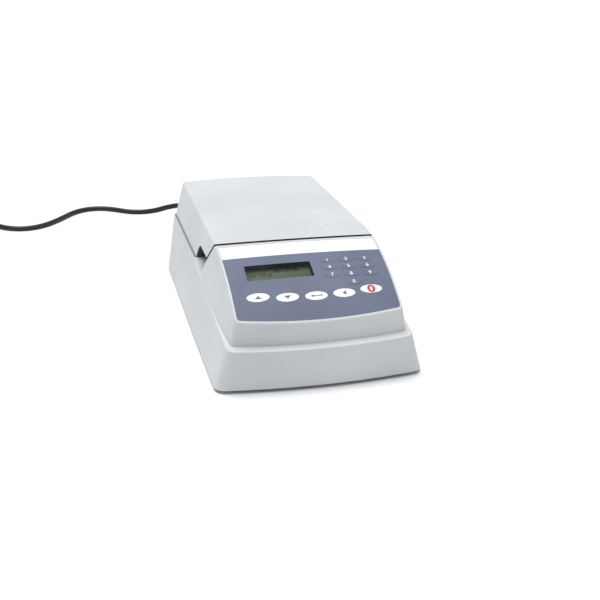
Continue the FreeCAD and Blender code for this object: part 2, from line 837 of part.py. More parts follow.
def make_lid_liner():
    """The inner face of the lid: a flange, a raised panel and two troughs for damp strips."""
    low = liner_z
    behind = bend_y - notch_behind_bend + wall + liner_gap
    flat = upper_form(wall + liner_gap).common(box(-far, far, behind, far, low, low + liner_thickness))
    tongue_x = notch_inner_x() - wall - liner_gap
    tongue = box(-tongue_x, tongue_x, -far, behind, low, low + liner_thickness)
    flat = flat.fuse(tongue.common(gap_plane(lid_console_gap + wall + liner_gap, False)))
    half = hinge_width / 2 + hinge_pad_margin + liner_gap
    pad_front = hinge_pad_y - hinge_pad_depth_lid - liner_gap
    for side in both_sides(box(hinge_middle_x - half, hinge_middle_x + half, pad_front, far, 0, far)):
        flat = flat.cut(side)
    dome_x = chamber_half_x
    dome_y = chamber_half_y
    dome = box(-dome_x, dome_x, chamber_y - dome_y, chamber_y + dome_y, low, low + liner_dome)
    dome_top = box(-dome_x - liner_thickness, dome_x + liner_thickness,
                   chamber_y - dome_y - liner_thickness, chamber_y + dome_y + liner_thickness,
                   low, low + liner_dome + liner_thickness)
    trough = box(trough_x - trough_width / 2, trough_x + trough_width / 2,
                 chamber_y - dome_y + trough_end, chamber_y + dome_y - trough_end,
                 low, low + liner_dome + trough_depth)
    shell = box(trough_x - trough_width / 2 - liner_thickness, trough_x + trough_width / 2 + liner_thickness,
                chamber_y - dome_y + trough_end - liner_thickness,
                chamber_y + dome_y - trough_end + liner_thickness,
                low + liner_dome, low + liner_dome + trough_depth + liner_thickness)
    body = flat.fuse(dome_top).fuse(shell).fuse(mirrored(shell))
    body = body.cut(dome).cut(trough).cut(mirrored(trough))
    for x, y in lid_screw_places():
        hole = rod(x, y, low - 1, lid_screw_radius + screw_clearance, liner_thickness + 2)
        sink = rod(x, y, low - 1, lid_screw_head_radius + screw_clearance,
                   lid_screw_head + lid_screw_sink + 1)
        for side in both_sides(hole.fuse(sink)):
            body = body.cut(side)
    return body.removeSplitter()


def make_lid_insulation():
    """The foam block that lies on the liner's raised panel, between the troughs."""
    low = liner_z + liner_dome + liner_thickness
    half = trough_x - trough_width / 2 - liner_thickness - lid_foam_margin
    return box(-half, half, chamber_y - chamber_half_y + lid_foam_margin,
               chamber_y + chamber_half_y - lid_foam_margin, low, low + lid_foam_height)


def make_lid_screws():
    """The liner's screws, their flat heads sunk in its flange."""
    screws = []
    for x, y in lid_screw_places():
        low = liner_z + lid_screw_sink
        head = rod(x, y, low, lid_screw_head_radius, lid_screw_head)
        screws += both_sides(head.fuse(rod(x, y, low, lid_screw_radius, lid_screw_length)))
    return screws


def make_slide_plate():
    """The heated plate with a shallow place for each slide and a thumb groove between columns."""
    plate = box(-plate_half_x, plate_half_x, chamber_y - plate_half_y, chamber_y + plate_half_y,
                plate_bottom_z, plate_top_z)
    cuts = []
    for row in range(slide_rows):
        y = chamber_y + (row - (slide_rows - 1) / 2) * row_pitch
        for side in (-1, 1):
            x = side * (column_gap / 2 + slide_length / 2)
            cuts.append(box(x - slide_length / 2, x + slide_length / 2, y - slide_width / 2,
                            y + slide_width / 2, plate_top_z - slide_pocket, plate_top_z + 1))
            grip_x = side * (column_gap / 2 + slide_length - grip_from_end)
            cuts.append(rod(grip_x, y, plate_top_z - grip_depth, grip_radius, far))
    for x, y in plate_screw_places():
        cuts.append(rod(x, y, plate_top_z - plate_screw_sink - plate_screw_head,
                        plate_screw_head_radius + screw_clearance, far))
        cuts.append(rod(x, y, 0, plate_screw_radius + screw_clearance, far))
    return plate.cut(Part.makeCompound(cuts))


def plate_screw_places():
    """Where the plate is screwed down to its frame, in its margin between two rows."""
    x = plate_half_x - plate_margin / 2
    y = (slide_rows // 2 - 1) * row_pitch
    return [(sx * x, chamber_y + sy * y) for sx in (-1, 1) for sy in (-1, 1)]


def make_plate_screws():
    """Plate screws, down into the frame's ledge."""
    screws = []
    for x, y in plate_screw_places():
        head_z = plate_top_z - plate_screw_sink - plate_screw_head
        head = rod(x, y, head_z, plate_screw_head_radius, plate_screw_head)
        screws.append(head.fuse(rod(x, y, frame_bottom_z, plate_screw_radius, head_z - frame_bottom_z)))
    return screws


def make_heater_mat():
    """The silicone heater bonded under the plate."""
    half_x = chamber_half_x - frame_ledge - heater_margin
    half_y = chamber_half_y - frame_ledge - heater_margin
    return box(-half_x, half_x, chamber_y - half_y, chamber_y + half_y,
               plate_bottom_z - heater_thickness, plate_bottom_z)


def make_chamber_frame():
    """The frame that lines the opening, carries the plate on a ledge and holds the seal."""
    top = rim_height
    flange = box(-flange_reach_x(), flange_reach_x(), flange_front_y(), flange_back_y(), shelf_z, top)
    tube = box(-frame_outer_x, frame_outer_x, chamber_y - frame_outer_y, chamber_y + frame_outer_y,
               frame_bottom_z, top)
    frame = flange.fuse(tube)
    frame = frame.cut(box(-chamber_half_x, chamber_half_x, chamber_y - chamber_half_y,
                          chamber_y + chamber_half_y, plate_bottom_z, top + 1))
    inner_x = chamber_half_x - frame_ledge - plate_margin
    inner_y = chamber_half_y - frame_ledge - plate_margin
    frame = frame.cut(box(-inner_x, inner_x, chamber_y - inner_y, chamber_y + inner_y, 0, far))
    for x, y in plate_screw_places():
        frame = frame.cut(rod(x, y, 0, plate_screw_radius + boss_fit, far))
    groove = seal_ring(seal_width + 2 * seal_groove_clearance, top - seal_groove, top + 1)
    return frame.cut(groove).removeSplitter()


def seal_ring(width, z0, z1):
    """A rectangular ring over the frame's wall."""
    x = frame_outer_x + seal_outside_wall
    y = frame_outer_y + seal_outside_wall
    outer = box(-x - width / 2, x + width / 2, chamber_y - y - width / 2, chamber_y + y + width / 2, z0, z1)
    inner = box(-x + width / 2, x - width / 2, chamber_y - y + width / 2, chamber_y + y - width / 2, z0, z1)
    return outer.cut(inner)


def make_chamber_seal():
    """The silicone seal that stands up out of the frame's groove."""
    low = rim_height - seal_groove
    return seal_ring(seal_width, low, liner_z - seal_gap)


def fan_place():
    """Middle of the fan and the height of its lower face."""
    return 0.0, chamber_y, shield_bottom_z - fan_height


def make_heat_shield():
    """The folded tray under the plate that turns the fan's air along it."""
    top = frame_bottom_z
    low = shield_bottom_z
    half_x = frame_outer_x - shield_sheet
    half_y = frame_outer_y - shield_sheet
    tray = box(-half_x, half_x, chamber_y - half_y, chamber_y + half_y, low, top)
    tray = tray.cut(box(-half_x + shield_sheet, half_x - shield_sheet, chamber_y - half_y + shield_sheet,
                        chamber_y + half_y - shield_sheet, low + shield_sheet, top + 1))
    x, y, z = fan_place()
    cuts = [rod(x, y, 0, fan_bore, far)]
    for side in (-1, 1):
        for index in range(shield_slots):
            slot_y = chamber_y + (index - (shield_slots - 1) / 2) * shield_slot_pitch
            cuts.append(box(side * half_x - wall, side * half_x + wall, slot_y - shield_slot_length / 2,
                            slot_y + shield_slot_length / 2, low + shield_slot_margin,
                            top - shield_slot_margin))
    return tray.cut(Part.makeCompound(cuts))


def make_fan_frame():
    """The square fan body with its round throat, motor mount and three struts."""
    x, y, z = fan_place()
    half = fan_size / 2
    body = box(x - half, x + half, y - half, y + half, z, z + fan_height)
    body = rounded(body, 4.0, lambda p, e: abs(abs(p.x - x) - half) < 0.01 and abs(abs(p.y - y) - half) < 0.01)
    body = body.cut(rod(x, y, z - 1, fan_bore, fan_height + 2))
    for sx in (-1, 1):
        for sy in (-1, 1):
            body = body.cut(rod(x + sx * fan_corner_hole, y + sy * fan_corner_hole, z - 1, 2.1, far))
    mount = rod(x, y, z, fan_hub_radius, 3.0)
    spindle = rod(x, y, z, fan_spindle_radius, fan_height - 3)
    for index in range(3):
        strut = box(0, fan_bore + 1, -1.5, 1.5, z, z + 2.4)
        strut.rotate(Vector(0, 0, 0), Vector(0, 0, 1), 30 + 120 * index)
        strut.translate(Vector(x, y, 0))
        mount = mount.fuse(strut)
    return body.fuse(mount.fuse(spindle))


def make_fan_rotor():
    """The fan's hub cup with its twisted blades."""
    x, y, z = fan_place()
    low = z + 4.0
    height = fan_height - 5.5
    hub = rod(0, 0, low, fan_hub_radius, height)
    hub = hub.cut(rod(0, 0, low - 1, fan_hub_radius - 2, height - 1.2))
    hub = hub.fuse(rod(0, 0, low, fan_spindle_radius + 2.5, height))
    hub = hub.cut(rod(0, 0, low - 1, fan_spindle_radius + spindle_clearance, fan_height - 3 - 4 + 1.3))
    blades = []
    for index in range(fan_blades):
        wires = []
        for reach, pitch in ((fan_hub_radius - 0.6, 48), (fan_blade_reach, 30)):
            chord = 13.0
            rise = math.sin(math.radians(pitch)) * chord / 2
            run = math.cos(math.radians(pitch)) * chord / 2
            half = fan_blade_thickness / 2
            middle = low + height / 2
            wires.append(Part.makePolygon([Vector(reach, -run, middle - rise - half),
                                           Vector(reach, run, middle + rise - half),
                                           Vector(reach, run, middle + rise + half),
                                           Vector(reach, -run, middle - rise + half),
                                           Vector(reach, -run, middle - rise - half)]))
        blade = Part.makeLoft(wires, True, True)
        blade = blade.common(rod(0, 0, low, fan_blade_reach, height))
        blade.rotate(Vector(0, 0, 0), Vector(0, 0, 1), index * 360 / fan_blades)
        blades.append(blade)
    rotor = hub.multiFuse(blades)
    rotor = rotor.cut(rod(0, 0, low - 1, fan_hub_radius - 2.2, height - 1.2)
                      .cut(rod(0, 0, low - 1, fan_spindle_radius + 2.5, height)))
    rotor.translate(Vector(x, y, 0))
    return rotor


def make_bottom_plate():
    """The sheet-metal floor with intake slots under the fan and outlet slots at the sides."""
    plate = base_form(wall + bottom_clearance).common(box(-far, far, -far, far, bottom_z, bottom_inner_z))
    x, y, z = fan_place()
    cuts = []
    for index in range(vent_count):
        slot_x = x + (index - (vent_count - 1) / 2) * vent_pitch
        cuts.append(box(slot_x - vent_width / 2, slot_x + vent_width / 2, y - vent_length / 2,
                        y + vent_length / 2, 0, far / 10))
        for end in (-1, 1):
            cuts.append(rod(slot_x, y + end * vent_length / 2, 0, vent_width / 2, far / 10))
    for px, py in screw_places():
        for side in (-1, 1):
            cuts.append(rod(side * px, py, 0, bottom_hole_radius, far / 10))
    return plate.cut(joined(cuts))


def make_bottom_screws():
    """Pan-head screws up through the floor into the base's bosses."""
    screws = []
    for x, y in screw_places():
        head = rod(x, y, bottom_z, 2 * bottom_screw_radius, 1.2 * bottom_screw_radius, (0, 0, -1))
        screws += both_sides(head.fuse(rod(x, y, bottom_z, bottom_screw_radius, bottom_screw_length)))
    return screws


def make_feet():
    """Four soft feet, each with a shallow taper and a rounded lower edge."""
    feet = []
    for y in (front_y + foot_from_end, back_y - foot_from_end):
        foot = Part.makeCone(foot_radius - 1.2, foot_radius, bottom_z, Vector(foot_x, y, 0))
        foot = rounded(foot, 0.8, lambda p, e: abs(p.z) < 0.01 and e.Length > 5)
        feet += both_sides(foot)
    return feet


def make_hinge_leaf(upper):
    """One leaf of the right-hand hinge with its knuckles: two on the base, one on the lid."""
    x0 = hinge_middle_x - hinge_width / 2
    x1 = hinge_middle_x + hinge_width / 2
    relief = hinge_barrel_radius + hinge_leaf_relief
    if upper:
        spans = [(x0 + hinge_knuckle + hinge_knuckle_gap, x1 - hinge_knuckle - hinge_knuckle_gap)]
        leaf = box(x0, x1, hinge_pad_y, hinge_pad_y + hinge_leaf_thickness, hinge_z + relief,
                   hinge_leaf_high)
        neck_z = (hinge_z, hinge_z + relief)
    else:
        spans = [(x0, x0 + hinge_knuckle), (x1 - hinge_knuckle, x1)]
        leaf = box(x0, x1, hinge_pad_y, hinge_pad_y + hinge_leaf_thickness, hinge_leaf_low,
                   hinge_z - relief)
        neck_z = (hinge_z - relief, hinge_z)
    body = leaf
    for low, high in spans:
        barrel = rod(low, hinge_y, hinge_z, hinge_barrel_radius, high - low, (1, 0, 0))
        neck = box(low, high, hinge_pad_y, hinge_pad_y + hinge_leaf_thickness, neck_z[0], neck_z[1])
        body = body.fuse(barrel).fuse(neck)
    bore = rod(x0 - 1, hinge_y, hinge_z, hinge_pin_radius + hinge_pin_clearance, hinge_width + 2, (1, 0, 0))
    body = body.cut(bore)
    for x, z in hinge_screw_places(upper):
        body = body.cut(rod(x, hinge_pad_y - 1, z, hinge_screw_radius + screw_clearance, far / 10, (0, 1, 0)))
    return body.removeSplitter()


def hinge_screw_places(upper):
    """The two screws of a hinge leaf."""
    rise = hinge_leaf_height * hinge_screw_up
    z = hinge_z + rise if upper else hinge_z - rise
    side = hinge_width * hinge_screw_across
    return [(hinge_middle_x - side, z), (hinge_middle_x + side, z)]


def make_hinge_pins():
    """The two hinge pins, with a small head at each outer end."""
    x0 = hinge_middle_x - hinge_width / 2
    pin = rod(x0, hinge_y, hinge_z, hinge_pin_radius, hinge_width, (1, 0, 0))
    pin = pin.fuse(rod(x0 + hinge_width, hinge_y, hinge_z, hinge_pin_radius + 0.9, 1.0, (1, 0, 0)))
    return both_sides(pin)


def make_hinge_screws(upper):
    """Leaf screws, heads outwards."""
    screws = []
    for x, z in hinge_screw_places(upper):
        face_y = hinge_pad_y + hinge_leaf_thickness
        shank = rod(x, face_y - hinge_leaf_thickness, z, hinge_screw_radius, hinge_leaf_thickness, (0, 1, 0))
        head = rod(x, face_y, z, hinge_screw_radius * 1.9, 1.4, (0, 1, 0))
        screws += both_sides(shank.fuse(head))
    return screws


def panel_piece(inner, outer, margin, top_clearance):
    """A sheet on the panel that stops a margin inside the console's edges."""
    sheet = upper_form(margin).common(panel_layer(inner, outer))
    top_y = front_y + panel_top_from_front - top_clearance
    return sheet.cut(box(-far, far, top_y, far, 0, far))


def make_control_overlay():
    """The printed film with an opening for every key and for the display window."""
    film = panel_piece(-overlay_sink - overlay_thickness, -overlay_sink, panel_margin, 0)
    for name, x, from_front, length, width in key_places():
        hole = oval(length + 2 * key_clearance, width + 2 * key_clearance)
        film = film.cut(placed_on_panel(hole, x, from_front, -5, 5))
    window = oblong(window_length, window_width)
    return film.cut(placed_on_panel(window, window_middle_x, window_middle_from_front, -5, 5))


def make_keypad_membrane():
    """The switch layer on the floor of the recess, open behind the display window."""
    sheet = panel_piece(-panel_recess, membrane_top, panel_margin, 0)
    window = oblong(window_length + 2, window_width + 2)
    return sheet.cut(placed_on_panel(window, window_middle_x, window_middle_from_front, -8, 5))


def make_key(x, from_front, length, width):
    """One sprung oval key, its top following the panel's curve."""
    low = membrane_top + dome_height + key_travel
    column = placed_on_panel(oval(length, width), x, from_front, -5, 5)
    return column.common(panel_layer(low, key_proud))


def make_key_domes():
    """A snap dome under each key."""
    domes = []
    for name, x, from_front, length, width in key_places():
        place, out = panel_place(x, from_front)
        base = place + out * membrane_top
        domes.append(Part.makeCone(dome_radius, dome_radius / 2, dome_height, base, out))
    return domes


def display_block(length, width, low, high):
    """A flat block parallel to the display window, below the panel."""
    return placed_on_panel(oblong(length, width), window_middle_x, window_middle_from_front, low, high)


def make_display_window():
    """The clear film over the display opening."""
    face = oblong(window_length - 2 * window_film_clearance, window_width - 2 * window_film_clearance)
    block = placed_on_panel(face, window_middle_x, window_middle_from_front, -5, 5)
    return block.common(panel_layer(-overlay_sink - window_film, -overlay_sink))


def make_display_bezel():
    """The dark frame round the display glass, behind the console's wall."""
    frame = display_block(window_length + 2 * bezel_frame, window_width + 2 * bezel_frame,
                          -display_depth, -display_depth + bezel_thickness)
    hole = display_block(window_length - 2 * bezel_overlap, window_width - 2 * bezel_overlap,
                         -display_depth - 1, -display_depth + bezel_thickness + 1)
    return frame.cut(hole)


def make_display_glass():
    """The display cell behind the bezel."""
    margin = display_glass_margin
    return display_block(window_length + 2 * margin, window_width + 2 * margin,
                         -display_depth - display_glass_thickness, -display_depth)


def make_display_board():
    """The display's circuit board."""
    top = -display_depth - display_glass_thickness
    margin = display_board_margin
    return display_block(window_length + 2 * margin, window_width + 2 * margin,
                         top - display_board_thickness, top)


def make_keypad_tail():
    """The flat lead from the switch layer, through its slit, down to the control board."""
    x = digit_middle_x
    top_y = front_y + tail_from_front - tail_thickness / 2
    slack = 14.0
    sheet = [(top_y, arc_top_height), (top_y, board_top_z + slack), (top_y + slack, board_top_z)]
    strip = []
    for start, end in zip(sheet[:-1], sheet[1:]):
        length = math.hypot(end[0] - start[0], end[1] - start[1])
        side_y = (start[1] - end[1]) / length * tail_thickness
        side_z = (end[0] - start[0]) / length * tail_thickness
        corners = [start, end, (end[0] + side_y, end[1] + side_z), (start[0] + side_y, start[1] + side_z)]
        face = face_of([(x - tail_width / 2, y, z) for y, z in corners])
        strip.append(face.extrude(Vector(tail_width, 0, 0)))
    return strip[0].fuse(strip[1]).cut(panel_layer(-panel_recess, far))


def standoffs(x0, x1, y0, y1):
    """Four standoffs near the corners of a board."""
    posts = []
    for x in (x0 + standoff_inset, x1 - standoff_inset):
        for y in (y0 + standoff_inset, y1 - standoff_inset):
            posts.append(rod(x, y, bottom_inner_z, standoff_radius, standoff_height))
    return posts


def make_control_board():
    """The control board with its main components, on standoffs."""
    y0 = front_y + control_board_from_front
    y1 = y0 + control_board_length
    half = control_board_width / 2
    top = board_top_z
    body = box(-half, half, y0, y1, board_z, top)
    parts = standoffs(-half, half, y0, y1)
    parts.append(box(-12, 12, y0 + 30, y0 + 54, top, top + 3))
    parts.append(box(-60, -34, y0 + 24, y0 + 40, top, top + 4))
    parts.append(box(half - 14, half - 2, y0 + 12, y1 - 12, top, top + 11))
    for index in range(4):
        parts.append(rod(-58 + index * 12, y0 + 70, top, 4.0, 12))
    return joined([body] + parts)


def make_power_supply():
    """The power board with its transformer, capacitors and heat sink, on standoffs."""
    x1 = supply_board_x
    x0 = x1 - supply_board_width
    y1 = back_y - supply_board_from_back
    y0 = y1 - supply_board_length
    top = board_top_z
    body = box(x0, x1, y0, y1, board_z, top)
    parts = standoffs(x0, x1, y0, y1)
    parts.append(box(x0 + 16, x0 + 56, y0 + 44, y0 + 80, top, top + 26))
    parts.append(rod(x0 + 18, y0 + 22, top, 8.0, 24))
    parts.append(rod(x0 + 40, y0 + 22, top, 8.0, 24))
    sink = box(x0 + 14, x0 + 60, y0 + 90, y0 + 93, top, top + 24)
    for index in range(6):
        fin_x = x0 + 16 + index * 8
        sink = sink.fuse(box(fin_x, fin_x + 2, y0 + 92, y0 + 104, top, top + 24))
    parts.append(sink)
    return joined([body] + parts)


def make_temperature_sensor():
    """The probe lying against the heater mat's underside."""
    z = plate_bottom_z - heater_thickness - sensor_radius
    return rod(sensor_x, chamber_y - sensor_length / 2, z, sensor_radius, sensor_length, (0, 1, 0))


def make_thermal_cutout():
    """The over-temperature switch, strapped against the heater mat's underside."""
    top = plate_bottom_z - heater_thickness
    can = rod(-sensor_x, chamber_y, top - cutout_height, cutout_radius, cutout_height)
    strap = box(-sensor_x - cutout_radius, -sensor_x + cutout_radius, chamber_y - 2 * cutout_radius,
                chamber_y + 2 * cutout_radius, top - cutout_strap, top)
    return can.fuse(strap)


def socket_outline(width, height, depth, y):
    """A block with two chamfered lower corners, as a power socket has, from y forwards."""
    half = width / 2
    low = -height / 2
    high = height / 2
    cut = socket_chamfer
    corners = [(-half, high), (half, high), (half, low + cut), (half - cut, low), (-half + cut, low),
               (-half, low + cut)]
    face = face_of([(inlet_x + x, y, socket_z + z) for x, z in corners])
    return face.extrude(Vector(0, -depth, 0))


def make_power_inlet():
    """The inlet: flange, socket with three pins, and the slot of the fuse drawer."""
    seat = rear_seat_y()
    outer = seat + inlet_plate_thickness
    half_x = inlet_plate_width / 2
    half_z = inlet_plate_height / 2
    flange = box(inlet_x - half_x, inlet_x + half_x, seat, outer, inlet_low_z, inlet_high_z)
    flange = rounded(flange, inlet_plate_corner, lambda p, e: (
        abs(abs(p.x - inlet_x) - half_x) < 0.01 and abs(abs(p.z - inlet_z) - half_z) < 0.01))
    half_x = half_x - inlet_body_inset
    body = box(inlet_x - half_x, inlet_x + half_x, seat - inlet_body_depth, seat,
               inlet_low_z + inlet_body_inset, inlet_high_z - inlet_body_inset)
    body = flange.fuse(body)
    body = body.cut(socket_outline(socket_width, socket_height, socket_depth + 1, outer + 1))
    body = body.cut(fuse_block(fuse_clearance, fuse_depth + fuse_end_gap + 1, outer + 1))
    pins = []
    for dx, dz in pin_places:
        x = inlet_x + dx
        z = socket_z + dz
        pins.append(box(x - pin_half_width, x + pin_half_width, outer - socket_depth, outer - pin_sink,
                        z - pin_half_height, z + pin_half_height))
    return joined([body] + pins)


def fuse_block(extra, depth, y):
    """The fuse drawer's block, or its slot when made larger, from y forwards."""
    half_x = fuse_width / 2 + extra
    half_z = fuse_height / 2 + extra
    return box(inlet_x - half_x, inlet_x + half_x, y - depth, y, fuse_z - half_z, fuse_z + half_z)


def make_fuse_drawer():
    """The fuse drawer with two fuse channels and a finger lip."""
    outer = rear_seat_y() + inlet_plate_thickness
    drawer = fuse_block(0, fuse_depth, outer)
    for side in (-1, 1):
        x = inlet_x + side * fuse_channel_x
        drawer = drawer.cut(box(x - fuse_channel / 2, x + fuse_channel / 2, outer - fuse_depth + 2, outer - 3,
                                fuse_z - fuse_channel / 2, fuse_z + fuse_height))
    lip = box(inlet_x - 5, inlet_x + 5, outer, outer + 1.0, fuse_z - 3.5, fuse_z - 1.5)
    return drawer.fuse(lip)


def make_switch_housing():
    """The frame of the power switch, with trunnion holes for the rocker."""
    seat = rear_seat_y()
    half_x = switch_width / 2
    half_z = switch_height / 2
    flange = box(switch_x - half_x, switch_x + half_x, seat, seat + switch_flange,
                 inlet_z - half_z, inlet_z + half_z)
    inset = switch_body_inset
    body = box(switch_x - half_x + inset, switch_x + half_x - inset, seat - switch_depth, seat,
               inlet_z - half_z + inset, inlet_z + half_z - inset)
    inset = switch_room_inset
    room = box(switch_x - half_x + inset, switch_x + half_x - inset, seat - switch_room_depth,
               seat + switch_flange + 1, inlet_z - half_z + inset, inlet_z + half_z - inset)
    reach = half_x - inset + trunnion_length
    hole = rod(switch_x - reach, rocker_y(), inlet_z, trunnion_radius + spindle_clearance,
               2 * reach, (1, 0, 0))
    return flange.fuse(body).cut(room).cut(hole)


def rocker_y():
    """Depth of the rocker's axis."""
    return rear_seat_y() - rocker_axis_depth


def make_switch_rocker():
    """The rocker: a shallow V seen from the side, on two trunnions, at its off position."""
    half = switch_width / 2 - switch_room_inset - rocker_side_gap
    reach_z = switch_height / 2 - switch_room_inset - rocker_end_gap
    y = rocker_y()
    crest = rocker_axis_depth + switch_flange + 1.6
    corners = [(y - 5.0, inlet_z - 3), (y - 5.0, inlet_z + 3), (y + 2.2, inlet_z + reach_z),
               (y + crest, inlet_z + reach_z), (y + crest - 1.8, inlet_z), (y + crest, inlet_z - reach_z),
               (y + 2.2, inlet_z - reach_z)]
    face = face_of([(switch_x - half, cy, cz) for cy, cz in corners])
    rocker = face.extrude(Vector(2 * half, 0, 0))
    reach = half + trunnion_length
    rocker = rocker.fuse(rod(switch_x - reach, y, inlet_z, trunnion_radius, 2 * reach, (1, 0, 0)))
    rocker.rotate(Vector(switch_x, y, inlet_z), Vector(1, 0, 0), rocker_tilt)
    return rocker


def section_loft(sections, middle, turn):
    """A loft through rectangular sections set along an axis, each (width, height, distance)."""
    wires = []
    for width, height, distance in sections:
        face = oblong(width, height)
        place = middle + turn.multVec(Vector(0, 0, distance))
        face.Placement = FreeCAD.Placement(place, turn)
        wires.append(face.OuterWire)
    return Part.makeLoft(wires, True, True)


def connector_y():
    """Depth at which the connector's grip starts."""
    return rear_seat_y() + inlet_plate_thickness + connector_gap


def make_cord_connector():
    """The connector in the inlet, with its nose, grip and tapered strain relief."""
    start = connector_y()
    nose = socket_outline(socket_width - 2 * connector_fit, socket_height - 2 * connector_fit,
                          socket_depth - 1.0, start)
    for dx, dz in pin_places:
        x = inlet_x + dx
        z = socket_z + dz
        nose = nose.cut(box(x - pin_half_width - connector_fit, x + pin_half_width + connector_fit,
                            start - socket_depth, start - connector_gap, z - pin_half_height - connector_fit,
                            z + pin_half_height + connector_fit))
    backwards = FreeCAD.Rotation(Vector(1, 0, 0), -90)
    grip = section_loft(grip_sections, Vector(inlet_x, start, socket_z), backwards)
    relief_y = start + grip_sections[-1][2]
    relief = Part.makeCone(relief_start_radius, lead_diameter / 2 + relief_wall, connector_relief_length,
                           Vector(inlet_x, relief_y, socket_z), Vector(0, 1, 0))
    return joined([nose, grip, relief])


# Route of the lead from the connector to its coil, chosen by hand, on the bench top once it is down
lead_floor = lead_diameter / 2
lead_exit_y = connector_y() + grip_sections[-1][2] + connector_relief_length
lead_route = [
    (inlet_x, lead_exit_y, socket_z),
    (46, 300, socket_z),
    (45, 336, 17.0),
    (42, 376, 9.5),
    (36, 417, 5.0),
    (26, 457, lead_floor),
    (7, 493, lead_floor),
    (-18, 522, lead_floor),
    (-41, 536, lead_floor),
    (-67, 537, lead_floor),
    (-89, 526, lead_floor),
    (-107, 511, lead_floor),
    (-131, 504, lead_floor),
    (-157, 511, lead_floor),
    (-180, 532, lead_floor),
    (-205, 545, lead_floor),
    (-231, 542, lead_floor),
    (-253, 525, lead_floor),
    (-272, 494, lead_floor),
    (-293, 464, lead_floor),
    (-315, 446, lead_floor),
    (-341, 442, lead_floor),
    (-366, 454, lead_floor),
    (-385, 477, lead_floor + 0.5),
    (-402, 505, lead_floor + coil_rest),
]


def tangent_wire(points):
    """Straight runs joined by tangent arcs as large as their runs allow, and the arcs' radii."""
    edges = []
    radii = []
    start = points[0]
    for before, corner, after in zip(points[:-2], points[1:-1], points[2:]):
        back = before - corner
        ahead = after - corner
        reach = 0.45 * min(back.Length, ahead.Length)
        half_turn = (math.pi - back.getAngle(ahead)) / 2
        enter = corner + back.normalize() * reach
        leave = corner + ahead.normalize() * reach
        bisector = (back + ahead).normalize()
        radius = reach / math.tan(half_turn)
        middle = corner + bisector * (radius / math.cos(half_turn) - radius)
        edges.append(Part.LineSegment(start, enter).toShape())
        edges.append(Part.Arc(enter, middle, leave).toShape())
        radii.append(radius)
        start = leave
    edges.append(Part.LineSegment(start, points[-1]).toShape())
    return Part.Wire(edges), radii


def tube_along(name, points):
    """A round tube along a route; prints its tightest radii and its volume against its length."""
    points = [Vector(*point) for point in points]
    path, radii = tangent_wire(points)
    circle = Part.Circle(points[0], points[1] - points[0], lead_diameter / 2)
    section = Part.Wire([circle.toShape()])
    tube = path.makePipeShell([section], True, False)
    expected = math.pi * lead_diameter ** 2 / 4 * path.Length
    print("%s: length %.1f mm, volume over section times length %.4f" % (
        name, path.Length, tube.Volume / expected))
    print("%s radii: %s" % (name, " ".join("%.0f" % radius for radius in radii)))
    return tube, path.Length


def coil_middle():
    """Middle of the coil: the lead's last run is tangent to the outer turn."""
    end = Vector(*lead_route[-1])
    along = end - Vector(*lead_route[-2])
    along.z = 0
    along = along.normalize()
    return Vector(end.x - along.y * coil_outer_turn, end.y + along.x * coil_outer_turn, coil_rest)


def coil_inner_turn():
    """Radius of the innermost turn, where the lead goes up to the second layer."""
    return coil_outer_turn - coil_turn_spacing * coil_lower_turns


def coil_place(turns):
    """A point of the lead in the coil: two turns inwards below, then outwards on top of them."""
    middle = coil_middle()
    end = Vector(*lead_route[-1])
    start_angle = math.atan2(end.y - middle.y, end.x - middle.x)
    angle = start_angle + 2 * math.pi * turns
    radius = coil_inner_turn() + coil_turn_spacing * abs(turns - coil_lower_turns)
    rise = max(0.0, min(1.0, (turns - coil_lower_turns) / coil_rise_turns + 0.5))
    z = coil_rest + lead_diameter / 2 + rise * coil_turn_spacing
    return Vector(middle.x + radius * math.cos(angle), middle.y + radius * math.sin(angle), z)


def coil_length(turns):
    """Length of the lead in the coil, stepped round."""
    steps = 720
    places = [coil_place(turns * index / steps) for index in range(steps + 1)]
    return sum((b - a).Length for a, b in zip(places[:-1], places[1:]))


def coil_turns(lead_part, tail_part):
    """How many turns take the rest of the lead's length."""
    wanted = lead_length - lead_part - tail_part
    low = coil_lower_turns
    high = 2 * coil_lower_turns
    while high - low > 0.0001:
        middle = (low + high) / 2
        if coil_length(middle) < wanted:
            low = middle
        else:
            high = middle
    return low


def make_power_cord_coil():
    """The outer shape of the tied coil: a ring as wide and as high as its turns."""
    middle = coil_middle()
    inner = coil_inner_turn() - lead_diameter / 2
    outer = coil_outer_turn + lead_diameter / 2
    height = lead_diameter + coil_turn_spacing
    ring = rod(middle.x, middle.y, coil_rest, outer, height)
    return ring.cut(rod(middle.x, middle.y, coil_rest - 1, inner, height + 2))


def make_cord_tie():
    """The strap round the coil, on the side away from the plug."""
    middle = coil_middle()
    height = lead_diameter + coil_turn_spacing
    ring_inner = coil_inner_turn() - lead_diameter / 2
    inner = math.sqrt(ring_inner ** 2 - (tie_width / 2) ** 2) - tie_clearance
    outer = coil_outer_turn + lead_diameter / 2 + tie_clearance
    low = coil_rest - tie_clearance
    high = coil_rest + height + tie_clearance
    half = tie_width / 2
    strap = box(-half, half, inner - tie_thickness, outer + tie_thickness, low - tie_thickness,
                high + tie_thickness)
    strap = strap.cut(box(-far, far, inner, outer, low, high))
    strap.translate(Vector(middle.x, middle.y, 0))
    return strap


def tail_route(turns):
    """The short end of the lead from the top of the coil to the plug."""
    start = coil_place(turns)
    along = start - coil_place(turns - 0.001)
    heading = math.atan2(along.y, along.x)
    plug_z = plug_sections[-1][1] / 2
    bend = start + Vector(math.cos(heading), math.sin(heading), 0) * tail_run
    heading = heading - math.radians(tail_turn)
    end = bend + Vector(math.cos(heading), math.sin(heading), 0) * tail_run
    return [start, Vector(bend.x, bend.y, (start.z + plug_z) / 2), Vector(end.x, end.y, plug_z)]


